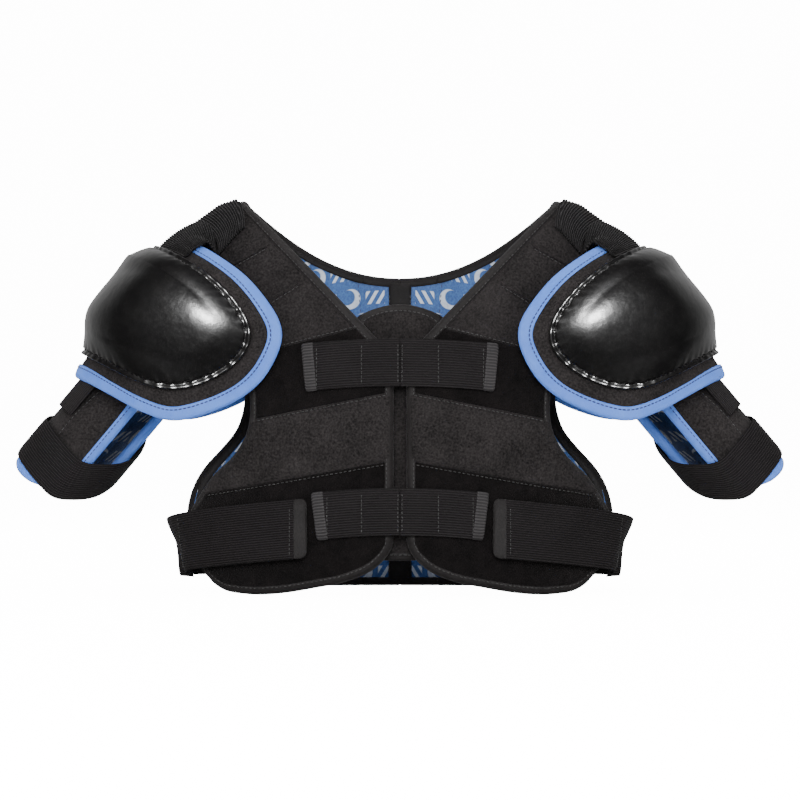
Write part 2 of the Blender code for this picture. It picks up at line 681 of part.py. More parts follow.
def arm_straps(side, word):
    radius = ARM_RADIUS + ARM_STRAP_LIFT
    swing = math.degrees(0.0015 / radius)
    fold = ARM_STRAP_HINGE_ANGLE
    hinge = arm_point(fold, arm_strap_line(fold), radius + STRAP / 2)
    back, tip = ARM_STRAP_ENDS
    pieces = ((f"{word}_arm_strap", back, fold + swing, 11, ARM_HINGE),
              (f"{word}_arm_strap_end", fold - swing, tip, 7, hinge))
    half = ARM_STRAP_WIDTH / 2
    for name, first, last, count, origin in pieces:
        angles = [mix(first, last, i / count) for i in range(count + 1)]
        outer = []
        inner = []
        for a in angles:
            ends = (arm_strap_line(a) - half, arm_strap_line(a) + half)
            outer.append([arm_point(a, s, radius + STRAP) for s in ends])
            inner.append([arm_point(a, s, radius) for s in ends])
        add_object(name, sheet_solid(outer, inner), "elastic", side, origin)


def arm_flap(side, word):
    """Short elastic that hangs the guard from the cap."""
    offset = ARM_RADIUS + 0.0008
    grids = []
    for extra in (0.0016, 0):
        grid = []
        for along in (0.0425, 0.062):
            base = ARM_OUT * (ARM_AXIS_OFFSET + offset + extra) + ARM_DOWN * along
            grid.append([base + Vector((0, y, 0)) for y in (-0.015, 0.015)])
        grids.append(grid)
    add_object(f"{word}_arm_flap", sheet_solid(grids[0], grids[1]), "elastic", side, ARM_HINGE)


def arm_guard(side, word):
    shell_in = ARM_RADIUS - ARM_SHELL
    foam_in = shell_in - GAP - ARM_FOAM
    liner_in = foam_in - GAP - ARM_LINER
    arm_layer(f"{word}_arm_shell", side, "black_fabric", ARM_RADIUS, shell_in)
    arm_layer(f"{word}_arm_foam", side, "foam", shell_in - GAP, foam_in)
    arm_layer(f"{word}_arm_liner", side, "blue_liner", foam_in - GAP, liner_in)
    arm_binding(side, word, ARM_RADIUS - liner_in)
    arm_straps(side, word)
    arm_flap(side, word)


# ---- assembly -----------------------------------------------------------------------------
def main():
    for obj in list(bpy.data.objects):
        bpy.data.objects.remove(obj, do_unlink=True)
    spine()
    chest_pad()
    for side, word in ((-1, "left"), (1, "right")):
        vest_panels(side, word)
        edge_binding(side, word)
        shoulder_webbing(side, word)
        side_strap(side, word)
        lift = GAP + PATCH + 0.0005
        chest_strap(f"{word}_upper_strap", side, *UPPER_STRAP, lift)
        chest_strap(f"{word}_lower_strap", side, *LOWER_STRAP, lift)
        shoulder_cap(side, word)
        arm_guard(side, word)


main()
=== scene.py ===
"""Looks of the youth hockey shoulder pads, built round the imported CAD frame.

Every soft piece is made for the right side (+X) as grids of points and mirrored for the left.
Lengths are metres.  The body and arm follow the CAD part's forms.  The cap keeps the CAD part's
rim, and its dome is smoother.
"""

import json
import math

import bmesh
import bpy
import numpy as np
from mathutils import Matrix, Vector


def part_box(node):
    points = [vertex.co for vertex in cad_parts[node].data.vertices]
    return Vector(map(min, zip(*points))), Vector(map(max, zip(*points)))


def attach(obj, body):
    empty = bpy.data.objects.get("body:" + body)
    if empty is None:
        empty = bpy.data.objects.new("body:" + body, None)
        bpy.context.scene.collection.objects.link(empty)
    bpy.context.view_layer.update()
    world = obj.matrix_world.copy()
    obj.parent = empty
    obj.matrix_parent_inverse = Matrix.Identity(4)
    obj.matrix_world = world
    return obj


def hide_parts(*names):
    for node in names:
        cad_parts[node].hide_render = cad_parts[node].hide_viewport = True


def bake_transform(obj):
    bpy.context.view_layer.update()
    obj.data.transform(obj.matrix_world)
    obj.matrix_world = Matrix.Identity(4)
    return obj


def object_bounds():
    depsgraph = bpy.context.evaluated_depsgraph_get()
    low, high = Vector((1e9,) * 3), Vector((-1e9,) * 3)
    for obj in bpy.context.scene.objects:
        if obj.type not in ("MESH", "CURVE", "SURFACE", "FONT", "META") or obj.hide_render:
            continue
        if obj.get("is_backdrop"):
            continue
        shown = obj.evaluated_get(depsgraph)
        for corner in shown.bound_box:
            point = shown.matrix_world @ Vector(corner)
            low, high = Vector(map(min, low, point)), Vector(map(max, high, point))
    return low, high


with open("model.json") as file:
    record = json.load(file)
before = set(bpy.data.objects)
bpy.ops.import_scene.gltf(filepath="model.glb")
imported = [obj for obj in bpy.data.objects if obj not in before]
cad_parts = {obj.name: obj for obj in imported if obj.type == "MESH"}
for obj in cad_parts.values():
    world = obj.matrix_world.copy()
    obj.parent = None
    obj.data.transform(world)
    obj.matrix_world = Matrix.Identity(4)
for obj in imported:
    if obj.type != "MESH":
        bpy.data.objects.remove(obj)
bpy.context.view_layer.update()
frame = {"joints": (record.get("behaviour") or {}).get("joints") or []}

# ---- the forms, as in the CAD part --------------------------------------------------------
TORSO_HALF_WIDTH = 0.186
CHEST_DEPTH = 0.092
BACK_DEPTH = 0.085
CHEST_HEIGHT = 0.130
SHOULDER_X = 0.128
SHOULDER_Z = 0.3175
SHOULDER_SLOPE = 0.72
ROUNDING = 3.0
HEM_TUCK = 0.08
PANEL_DEPTH = 0.0104
CENTRE_GAP = 0.0045
SPINE_Y = frame["joints"][0]["pos_m"][1]

ARMHOLE_FRONT = [(0.025, 0.162), (0.062, 0.1745), (0.072, 0.168), (0.083, 0.161), (0.095, 0.152),
                 (0.1055, 0.1395), (0.121, 0.128), (0.134, 0.123), (0.160, 0.122), (0.190, 0.127),
                 (0.220, 0.137), (0.250, 0.148), (0.285, 0.158), (0.330, 0.158)]
ARMHOLE_BACK = [(0.0, 0.150), (0.015, 0.166), (0.061, 0.179), (0.099, 0.165), (0.113, 0.152),
                (0.129, 0.139), (0.146, 0.133), (0.190, 0.134), (0.220, 0.140), (0.250, 0.148),
                (0.285, 0.158), (0.330, 0.158)]
FRONT_HEM = [(0.0045, 0.046), (0.012, 0.031), (0.021, 0.0215), (0.040, 0.012), (0.069, 0.0055),
             (0.095, 0.001), (0.126, 0.0), (0.145, 0.004), (0.1535, 0.011), (0.162, 0.025)]
NECK_FRONT_POINT = (0.021, 0.208)
NECK_FRONT_SLOPE = 1.054
NECK_BACK = (0.259, 0.062)

CAP_POLE = np.array((0.242, 0.0, 0.2483))            # middle of the dome
CAP_POLE_NORMAL = np.array((0.767, 0.0, 0.642))
# The brim runs from each rim point towards this place; its y is a multiple of that point's y.
CAP_AIM = np.array((0.225, 1.15, 0.262))
RIM_POINTS = 420
BRIM = 0.0237                # from the rim to the lip of the cover
BRIM_NARROWING = 0.0058      # less at the outer end of the cap
LIP_SOFTNESS = 6.5           # larger keeps sharper corners in the lip
CAP_RIM = [
    (0.174, 0.0, 0.2865), (0.163, -0.045, 0.282), (0.144, -0.067, 0.271),
    (0.1225, -0.082, 0.255), (0.106, -0.090, 0.236), (0.095, -0.093, 0.217),
    (0.0945, -0.093, 0.200), (0.106, -0.090, 0.1765), (0.123, -0.084, 0.160),
    (0.149, -0.081, 0.147), (0.180, -0.078, 0.1395), (0.206, -0.068, 0.1465),
    (0.233, -0.048, 0.160), (0.2525, -0.028, 0.170), (0.2655, 0.0, 0.175),
]

ARM_TILT = math.radians(40)
ARM_OUT = np.array((math.cos(ARM_TILT), 0, math.sin(ARM_TILT)))
ARM_DOWN = np.array((math.sin(ARM_TILT), 0, -math.cos(ARM_TILT)))
ARM_AXIS_OFFSET = 0.2733
ARM_RADIUS = 0.0355
ARM_FLATNESS = 0.93
ARM_END = [(-118, 0.094), (-112, 0.098), (-75, 0.118), (-40, 0.121), (0, 0.1175), (40, 0.121),
           (90, 0.121), (140, 0.103), (171, 0.082)]
ARM_STRAP_HINGE = -104.0

# ---- sizes of the soft detail -------------------------------------------------------------
SQUEEZE = 0.0016             # a bound edge is this much thinner on each face
SQUEEZE_REACH = 0.011
STRAP = 0.0022               # thickness of the elastic straps
CHEST_STRAP = 0.038          # widths of the straps
SIDE_STRAP = 0.050
SIDE_HINGE = 83.0            # degrees round the torso from the front
RIB = 0.0018                 # pitch of the shoulder webbing's ribs
STITCH = 0.0026              # length of one stitch
STITCH_PITCH = 0.0037
PRESSURE = 7.0               # of the cloth simulation that swells the padded pieces
CLOTH_FRAMES = 20            # frames that the swelling runs for
FRONT_SWELL, BACK_SWELL, CHEST_SWELL, ARM_SWELL = 0.0022, 0.0020, 0.0016, 0.0014    # at most


# ---- curves and forms ---------------------------------------------------------------------
def outline(points, steps=8):
    """A smooth curve value(t) through (t, value) points."""
    t, v = np.array(points, float).T
    dt = np.diff(t)
    slope = np.diff(v) / dt
    inner = (slope[1:] * dt[:-1] + slope[:-1] * dt[1:]) / (dt[1:] + dt[:-1])
    m = np.concatenate([[slope[0]], inner, [slope[-1]]])
    ts, vs = [], []
    for i, h in enumerate(dt):
        s = np.linspace(0, 1, steps, endpoint=False)
        ts.append(t[i] + s * h)
        vs.append((2 * s**3 - 3 * s**2 + 1) * v[i] + (s**3 - 2 * s**2 + s) * h * m[i]
                  + (3 * s**2 - 2 * s**3) * v[i + 1] + (s**3 - s**2) * h * m[i + 1])
    ts = np.append(np.concatenate(ts), t[-1])
    vs = np.append(np.concatenate(vs), v[-1])
    return lambda x: np.interp(x, ts, vs)


armhole_front = outline(ARMHOLE_FRONT)
armhole_back = outline(ARMHOLE_BACK)
front_hem = outline(FRONT_HEM)
arm_end = outline(ARM_END)


def mix(a, b, t):
    return a + (b - a) * t


def smoothstep(a, b, x):
    t = np.clip((x - a) / (b - a), 0, 1)
    return t * t * (3 - 2 * t)


def unit(v):
    return v / np.linalg.norm(v, axis=-1, keepdims=True)


def shoulder_height(x):
    return np.where(x > SHOULDER_X, SHOULDER_Z - SHOULDER_SLOPE * (x - SHOULDER_X),
                    SHOULDER_Z + 0.25 * (SHOULDER_X - x))


def half_depth(x, side):
    depth = CHEST_DEPTH if side < 0 else BACK_DEPTH
    return depth * np.sqrt(np.maximum(1 - (x / TORSO_HALF_WIDTH) ** 2, 1e-4))


def tuck(z, side):
    if side > 0:
        return 0 * z
    return HEM_TUCK * (np.maximum(CHEST_HEIGHT - z, 0) / CHEST_HEIGHT) ** 2


def form_y(x, z, side):
    w = np.clip((z - CHEST_HEIGHT) / (shoulder_height(x) - CHEST_HEIGHT), 0, 1)
    return side * half_depth(x, side) * (1 - tuck(z, side)) * (1 - w ** ROUNDING) ** (1 / ROUNDING)


def arch_z(x, angle):
    w = np.sin(np.radians(angle)) ** (2 / ROUNDING)
    return CHEST_HEIGHT + (shoulder_height(x) - CHEST_HEIGHT) * w


def arch_angle(x, z):
    w = np.clip((z - CHEST_HEIGHT) / (shoulder_height(x) - CHEST_HEIGHT), 0, 1)
    return np.degrees(np.arcsin(w ** (ROUNDING / 2)))


def form_level(x, y, z, side):
    across = np.abs(y) / (half_depth(x, side) * (1 - tuck(z, side)))
    w = np.maximum(z - CHEST_HEIGHT, 0) / (shoulder_height(x) - CHEST_HEIGHT)
    return across ** ROUNDING + w ** ROUNDING


def form(x, z, side, out=0.0):
    """(points, normals) of the body form, the points moved outwards by out."""
    x, z = np.broadcast_arrays(np.asarray(x, float), np.asarray(z, float))
    y = form_y(x, z, side)
    step, deep = 1e-5, np.abs(y)
    normal = unit(np.stack([
        form_level(x + step, y, z, side) - form_level(x - step, y, z, side),
        side * (form_level(x, deep + step, z, side) - form_level(x, deep - step, z, side)),
        form_level(x, y, z + step, side) - form_level(x, y, z - step, side)], -1))
    points = np.stack([x, y, z], -1)
    return points + normal * np.asarray(out)[..., None], normal


def bisect(inside, low, high):
    for _ in range(34):
        middle = (low + high) / 2
        if inside(middle):
            high = middle
        else:
            low = middle
    return (low + high) / 2


def neck_front(x):
    return NECK_FRONT_POINT[1] + NECK_FRONT_SLOPE * (x - NECK_FRONT_POINT[0])


def neck_back(x):
    return NECK_BACK[0] + NECK_BACK[1] * (x / SHOULDER_X) ** 2.1


def front_height(v, x, margin):
    """Height of line v of a front panel: 0 hem, 1 and 2 the band, 3 the yoke, 6 the shoulder."""
    if v > 4:
        return arch_z(x, 50 + 20 * (v - 4))
    keys = [front_hem(x) + margin, 0.109 - 0.18 * x, 0.164 - 0.20 * x, 0.2215 - 0.25 * x,
            arch_z(x, 50)]
    k = min(int(v), 3)
    return mix(keys[k], keys[k + 1], v - k)


def front_lines(vs, columns, margin):
    """x and z of the points of a front panel, a row for each v."""
    xs, zs = [], []
    edge = CENTRE_GAP + margin
    for v in vs:
        def low(x):
            return front_height(v, x, margin)

        def cut(x):
            return neck_front(x) - margin * 1.4
        x_in = edge
        if low(edge) >= cut(edge):
            x_in = bisect(lambda x: cut(x) > low(x), edge, SHOULDER_X)
        x_out = bisect(lambda x: x > armhole_front(low(x)) - margin, 0.10, 0.18)
        x = mix(x_in, x_out, columns)
        xs.append(x)
        zs.append(low(x))
    return np.array(xs), np.array(zs)


ARMPIT_Z = 0.180


def back_lines(vs, columns, margin):
    """x and z of a back panel: v from 0 at the hem to 1 at the armpit and 2 at the neck."""
    xs, zs = [], []
    for v in vs:
        if v <= 1:
            z = mix(margin, ARMPIT_Z, v)
            x = (armhole_back(z) - margin) * columns
            z = z + 0 * x
        else:
            top = (ARMHOLE_BACK[-1][1] - margin) * columns
            level = neck_back(np.minimum(top, SHOULDER_X)) - margin
            level = np.minimum(level, shoulder_height(top))
            edge = np.where(top > SHOULDER_X - 0.001, 90.0, arch_angle(top, level))
            x = mix((armhole_back(ARMPIT_Z) - margin) * columns, top, v - 1)
            z = arch_z(x, mix(arch_angle(x, ARMPIT_Z), edge, v - 1))
        xs.append(x)
        zs.append(z)
    return np.array(xs), np.array(zs)


# ---- cap and arm forms --------------------------------------------------------------------
def closed_curve(points, count):
    """Evenly spaced points on a smooth closed curve."""
    p = np.array(points, float)
    n = len(p)
    dense = []
    for i in range(n):
        a, b, c, d = p[i - 1], p[i], p[(i + 1) % n], p[(i + 2) % n]
        for t in np.linspace(0, 1, 24, endpoint=False):
            dense.append(0.5 * (2 * b + (c - a) * t + (2 * a - 5 * b + 4 * c - d) * t * t
                                + (3 * b - a - 3 * c + d) * t ** 3))
    dense = np.array(dense + dense[:1])
    walked = lengths(dense[None], 1)[0]
    at = np.linspace(0, walked[-1], count, endpoint=False)
    return np.stack([np.interp(at, walked, dense[:, k]) for k in range(3)], -1)


def cap_rim(count):
    back = [(x, -y, z) for x, y, z in CAP_RIM[1:-1]]
    return closed_curve(CAP_RIM + back[::-1], count)


def rounded(rings, softness):
    """Rings of points, or of vectors, without their corners: only their slow waves."""
    waves = np.fft.rfft(rings, axis=-2)
    order = np.arange(waves.shape[-2])
    keep = np.exp(-(np.maximum(order - 2, 0) / softness) ** 2)
    return np.fft.irfft(waves * keep[:, None], rings.shape[-2], axis=-2)


def brim_frame(rim):
    """At each rim point, unit vectors across the brim to the dome and out of the brim's face."""
    tangent = unit(np.roll(rim, -1, 0) - np.roll(rim, 1, 0))
    along_y = np.array((0, 1, 0))
    across = np.where(along_y, CAP_AIM * rim, CAP_AIM) - rim
    across = unit(across - tangent * np.sum(across * tangent, -1, keepdims=True))
    across = unit(rounded(across, 7.0))
    out = np.cross(tangent, across)
    return across, out * np.sign(out[0, 2])


def lip_line(rim, across):
    """The lip of the cover: inside the rim by the width of the brim, its corners rounded."""
    width = BRIM - BRIM_NARROWING * smoothstep(0.20, 0.27, rim[:, :1])
    return rounded((rim + across * width)[None], LIP_SOFTNESS)[0]


def calmed(rings, share):
    """Fades the finer waves out of each ring as its share of the way from the pole shrinks."""
    waves = np.fft.rfft(rings, axis=1)
    order = np.maximum(np.arange(waves.shape[1]) - 2, 0)
    waves *= (share[:, None] ** (0.9 * order))[..., None]
    return np.fft.irfft(waves, rings.shape[1], axis=1)


def dome_curve(end, up, depth, f):
    """Curves from the pole to each end point, arriving from the up direction, at fractions f."""
    pole = CAP_POLE - CAP_POLE_NORMAL * depth
    chord = end - pole
    size = np.linalg.norm(chord, axis=-1, keepdims=True)
    drop = (chord @ CAP_POLE_NORMAL)[:, None]
    full = smoothstep(0.40, 0.80, -drop / size)      # long lines reach well forward before they dip
    first = pole + rounded(unit(chord - CAP_POLE_NORMAL * drop) * size * mix(0.45, 0.62, full), 1.5)
    second = end + rounded(up * size * mix(0.34, 0.45, full), 1.8)
    f = f[..., None]
    return ((1 - f) ** 3 * pole + 3 * f * (1 - f) ** 2 * first + 3 * f * f * (1 - f) * second
            + f ** 3 * end)


def dome_layer(rim, depth, insets, inner_rings):
    """Rings of the dome at a depth, from the pole to the first inset, then one at each inset."""
    across, out = brim_frame(rim)
    end = lip_line(rim, across) + out * (PAD_TOP - depth)
    up = unit(across * 0.86 + out * 0.5)
    fs = np.linspace(0, 1, 81)
    walk = dome_curve(end, up, depth, fs[:, None] + np.zeros((1, len(rim))))
    length = lengths(walk, 0)
    at = np.array([[np.interp(length[-1, i] - inset, length[:, i], fs) for i in range(len(rim))]
                   for inset in insets])
    start = np.linspace(0.0, 1.0, inner_rings, endpoint=False)[1:, None] * at[:1]
    rings = dome_curve(end, up, depth, np.concatenate([start, at]))
    inside = np.concatenate([np.full(len(start), DEEP_INSIDE), insets])[:, None, None]
    rings = mix(rings, rounded(rings, 2.0), smoothstep(0.002, 0.040, inside))
    share = smoothstep(0, 0.95 * inner_rings, np.arange(1, len(rings) + 1))
    rings = calmed(rings, share)
    rings[..., 1] *= 1 - 0.11 * smoothstep(0.070, 0.120, np.abs(rings[..., 1]))
    return rings, CAP_POLE - CAP_POLE_NORMAL * depth


def arm_point(angle, along, radius):
    t = np.radians(np.asarray(angle, float))[..., None]
    along = np.asarray(along, float)[..., None]
    radius = np.asarray(radius, float)[..., None]
    return (ARM_OUT * (ARM_AXIS_OFFSET + radius * np.cos(t)) + ARM_DOWN * along
            + np.array((0, 1, 0)) * radius * ARM_FLATNESS * np.sin(t))


def arm_top(angle):
    return 0.012 + 0.022 * np.cos(np.radians(angle))


# ---- meshes -------------------------------------------------------------------------------
def grid_normals(grid, wrap=False):
    """Unit normals of a grid of points, from its rows and columns."""
    if wrap:
        across = np.roll(grid, -1, 1) - np.roll(grid, 1, 1)
    else:
        across = np.gradient(grid, axis=1)
    along = np.gradient(grid, axis=0)
    normal = np.cross(across, along)
    return normal / np.maximum(np.linalg.norm(normal, axis=-1, keepdims=True), 1e-12)


def lengths(grid, axis):
    """Distance walked along an axis of a grid."""
    step = np.linalg.norm(np.diff(grid, axis=axis), axis=-1)
    start = np.zeros_like(np.take(step, [0], axis=axis))
    return np.concatenate([start, np.cumsum(step, axis=axis)], axis=axis)


class Solid:
    """Vertices, faces and texture coordinates of one piece of the right side."""

    def __init__(self):
        self.verts = []
        self.faces = []
        self.uvs = []
        self.count = 0

    def add_grid(self, grid, uv):
        rows, cols = grid.shape[:2]
        self.verts.append(grid.reshape(-1, 3))
        self.uvs.append(uv.reshape(-1, 2))
        index = self.count + np.arange(rows * cols).reshape(rows, cols)
        self.count += rows * cols
        return index

    def quads(self, index):
        a, b, c, d = index[:-1, :-1], index[:-1, 1:], index[1:, 1:], index[1:, :-1]
        self.faces += np.stack([a, b, c, d], -1).reshape(-1, 4).tolist()

    def bridge(self, first, second):
        self.faces += np.stack([first[:-1], second[:-1], second[1:], first[1:]], -1).tolist()

    def sheet(self, outer, inner, uv=None):
        """Closed solid between two grids."""
        if uv is None:
            uv = np.stack([lengths(outer, 1), lengths(outer, 0)], -1)
        top = self.add_grid(outer, uv)
        low = self.add_grid(inner, uv)
        self.quads(top)
        self.quads(low[:, ::-1])
        self.bridge(top[0], low[0])
        self.bridge(low[-1], top[-1])
        self.bridge(low[:, 0], top[:, 0])
        self.bridge(top[:, -1], low[:, -1])
        return self

    def tube(self, rings, closed=False):
        """Closed tube through rings of points; each ring is a closed loop."""
        around = np.concatenate([rings, rings[:, :1]], 1)
        uv = np.stack([lengths(around, 0), lengths(around, 1)], -1)[:, :-1]
        uv[..., 0] = uv[:, :1, 0]
        index = self.add_grid(rings, uv)
        wrapped = np.concatenate([index, index[:, :1]], 1)
        if closed:
            wrapped = np.concatenate([wrapped, wrapped[:1]], 0)
        self.quads(wrapped)
        if not closed:
            self.faces.append(index[0].tolist())
            self.faces.append(index[-1][::-1].tolist())
        return self


def new_object(name, verts, faces):
    """An object whose faces all point outwards."""
    mesh = bpy.data.meshes.new(name)
    mesh.from_pydata(verts.tolist(), [], faces)
    bm = bmesh.new()
    bm.from_mesh(mesh)
    bmesh.ops.recalc_face_normals(bm, faces=bm.faces)
    bm.to_mesh(mesh)
    bm.free()
    obj = bpy.data.objects.new(name, mesh)
    bpy.context.scene.collection.objects.link(obj)
    return obj


def make(name, solid, mat, side=1, levels=0):
    """Makes the object, mirrored for the left side, with a level of subdivision if asked."""
    obj = new_object(name, np.concatenate(solid.verts) * (side, 1, 1), solid.faces)
    mesh = obj.data
    layer = mesh.uv_layers.new(name="UVMap")
    corner = np.zeros(len(mesh.loops), np.int32)
    mesh.loops.foreach_get("vertex_index", corner)
    layer.data.foreach_set("uv", np.concatenate(solid.uvs)[corner].astype(np.float32).ravel())
    mesh.shade_smooth()
    mesh.materials.append(mat)
    if levels:
        modifier = obj.modifiers.new("smooth", "SUBSURF")
        modifier.levels = modifier.render_levels = levels
        dg = bpy.context.evaluated_depsgraph_get()
        finer = bpy.data.meshes.new_from_object(obj.evaluated_get(dg))
        obj.modifiers.clear()
        obj.data = finer
    return obj


def inflate(solid, pinned, pressure, limit):
    """Swells a closed padded piece by cloth simulation between its pinned seams."""
    verts = np.concatenate(solid.verts)
    obj = new_object("swelling", verts, solid.faces)
    group = obj.vertex_groups.new(name="seams")
    group.add([int(i) for i in np.nonzero(pinned)[0]], 1.0, "REPLACE")
    cloth = obj.modifiers.new("cloth", "CLOTH")
    cloth.settings.vertex_group_mass = "seams"
    cloth.settings.use_pressure = True
    cloth.settings.uniform_pressure_force = pressure
    cloth.settings.mass = 0.1
    cloth.settings.effector_weights.gravity = 0
    scene = bpy.context.scene
    for step in range(1, CLOTH_FRAMES + 1):
        scene.frame_set(step)
    dg = bpy.context.evaluated_depsgraph_get()
    moved = np.zeros(len(verts) * 3, np.float32)
    obj.evaluated_get(dg).data.vertices.foreach_get("co", moved)
    shift = moved.reshape(-1, 3) - verts
    size = np.linalg.norm(shift, axis=1, keepdims=True)
    bpy.data.objects.remove(obj)
    scene.frame_set(1)
    return verts + shift * np.minimum(1, limit / np.maximum(size, 1e-9))


# ---- materials ----------------------------------------------------------------------------
def linear(*rgb):
    """Linear colour from 0 to 255 display values."""
    return (*(c / 3294.6 if c <= 10.3 else ((c / 255 + 0.055) / 1.055) ** 2.4 for c in rgb), 1)


class Cloths:
    """Node building for one procedural material; every texture is in metres of its cloth."""

    def __init__(self, name):
        self.material = bpy.data.materials.new(name)
        self.material.use_nodes = True
        self.tree = self.material.node_tree
        self.shader = self.tree.nodes["Principled BSDF"]
        self.uv = self.node("ShaderNodeUVMap").outputs[0]
        self.place = self.node("ShaderNodeTexCoord").outputs["Object"]
        split = self.node("ShaderNodeSeparateXYZ")
        self.tree.links.new(self.uv, split.inputs[0])
        self.u, self.v = split.outputs[0], split.outputs[1]

    def node(self, kind, **settings):
        made = self.tree.nodes.new(kind)
        for key, value in settings.items():
            setattr(made, key, value)
        return made

    def put(self, socket, value):
        if isinstance(value, bpy.types.NodeSocket):
            self.tree.links.new(value, socket)
        else:
            socket.default_value = value

    def math(self, operation, a, b=0.0, c=0.0):
        made = self.node("ShaderNodeMath", operation=operation)
        for socket, value in zip(made.inputs, (a, b, c)):
            self.put(socket, value)
        return made.outputs[0]

    def plus(self, a, b):
        return self.math("ADD", a, b)

    def minus(self, a, b):
        return self.math("SUBTRACT", a, b)

    def times(self, a, b, added=None):
        if added is None:
            return self.math("MULTIPLY", a, b)
        return self.math("MULTIPLY_ADD", a, b, added)

    def wave(self, along, pitch, phase=0.0):
        """0 to 1 ribs of that pitch."""
        angle = self.times(along, 2 * math.pi / pitch, phase)
        return self.times(self.math("SINE", angle), 0.5, 0.5)

    def noise(self, size, detail=2.0, rough=0.5, where=None):
        made = self.node("ShaderNodeTexNoise")
        self.put(made.inputs["Vector"], where or self.place)
        made.inputs["Scale"].default_value = 1 / size
        made.inputs["Detail"].default_value = detail
        made.inputs["Roughness"].default_value = rough
        return made.outputs["Fac"]

    def cells(self, size, where=None, feature="F1"):
        made = self.node("ShaderNodeTexVoronoi", feature=feature)
        self.put(made.inputs["Vector"], where or self.place)
        made.inputs["Scale"].default_value = 1 / size
        return made.outputs["Distance"]

    def blend(self, factor, a, b):
        made = self.node("ShaderNodeMix", data_type="RGBA")
        self.put(made.inputs["Factor"], factor)
        self.put(made.inputs["A"], a)
        self.put(made.inputs["B"], b)
        return made.outputs["Result"]

    def range(self, value, low, high, to_low, to_high):
        made = self.node("ShaderNodeMapRange")
        for socket, v in zip(made.inputs, (value, low, high, to_low, to_high)):
            self.put(socket, v)
        return made.outputs[0]

    def finish(self, colour, height, depth, rough, sheen=0.0, specular=0.4):
        bump = self.node("ShaderNodeBump")
        bump.inputs["Strength"].default_value = 1.0
        bump.inputs["Distance"].default_value = depth
        self.put(bump.inputs["Height"], height)
        self.tree.links.new(bump.outputs[0], self.shader.inputs["Normal"])
        self.put(self.shader.inputs["Base Color"], colour)
        self.put(self.shader.inputs["Roughness"], rough)
        self.shader.inputs["Sheen Weight"].default_value = sheen
        self.shader.inputs["Sheen Roughness"].default_value = 0.45
        self.shader.inputs["Sheen Tint"].default_value = (1, 1, 1, 1)
        self.shader.inputs["Specular IOR Level"].default_value = specular
        return self.material


def knit(name, dark, light, pitch=0.0011, sheen=0.03):
    """Smooth brushed knit with a faint grain and rubbed places."""
    c = Cloths(name)
    rows = c.wave(c.v, pitch)
    columns = c.wave(c.u, pitch * 0.8, 1.0)
    weave = c.times(rows, columns)
    grain = c.noise(0.0016, 3.0, 0.6)
    wear = c.noise(0.03, 3.0, 0.6)
    tone = c.times(grain, 0.75, c.times(wear, 0.35))
    tone = c.times(weave, 0.15, c.range(tone, 0.36, 0.76, 0.0, 1.0))
    height = c.times(weave, 0.6, c.times(grain, 0.7))
    return c.finish(c.blend(tone, dark, light), height, 0.0004,
                    c.range(wear, 0.3, 0.7, 0.72, 0.9), sheen, specular=0.04)


def velour(name, dark, light):
    """Brushed loop pile: soft tufts and darker places where it lies flat."""
    c = Cloths(name)
    fluff = c.noise(0.0009, 4.0, 0.75)
    tufts = c.cells(0.0013)
    lay = c.noise(0.012, 4.0, 0.65)
    tone = c.times(fluff, 0.9, c.times(lay, 0.7))
    tone = c.range(tone, 0.5, 1.1, 0.0, 1.0)
    height = c.minus(fluff, c.times(tufts, 0.6))
    return c.finish(c.blend(tone, dark, light), height, 0.0009, 0.95, 0.04, specular=0.02)


def ribbed(name, dark, light, pitch, depth=0.0005, rough=0.7, sharp=1.0):
    """Elastic or webbing: ribs along the strap with fine cross threads."""
    c = Cloths(name)
    wander = c.times(c.noise(0.02, 1.0), 0.0002)
    across = c.plus(c.u, wander)
    ribs = c.wave(across, pitch)
    threads = c.wave(c.v, pitch * 0.55)
    threads = c.times(threads, ribs)
    fuzz = c.noise(0.0012, 3.0, 0.7)
    wear = c.noise(0.025, 2.0)
    tone = c.times(c.math("POWER", ribs, sharp), 0.7, c.times(fuzz, 0.35))
    tone = c.times(wear, 0.3, c.minus(tone, 0.1))
    height = c.times(threads, 0.25, c.times(fuzz, 0.15, ribs))
    return c.finish(c.blend(tone, dark, light), height, depth, rough, 0.02, specular=0.05)


def tape(name, dark, light, rough=0.6, sheen=0.04, pitch=0.0009):
    """Bound edge tape: a fine twill, rubbed lighter in places."""
    c = Cloths(name)
    twill = c.wave(c.plus(c.u, c.v), pitch)
    gathers = c.noise(0.004, 2.0, 0.6)
    wear = c.noise(0.018, 3.0, 0.6)
    fuzz = c.noise(0.0010, 2.0, 0.6)
    tone = c.times(twill, 0.25, c.times(wear, 0.5))
    tone = c.times(fuzz, 0.3, tone)
    height = c.times(twill, 0.3, c.times(gathers, 1.0, c.times(fuzz, 0.3)))
    return c.finish(c.blend(tone, dark, light), height, 0.0004, rough, sheen, specular=0.08)


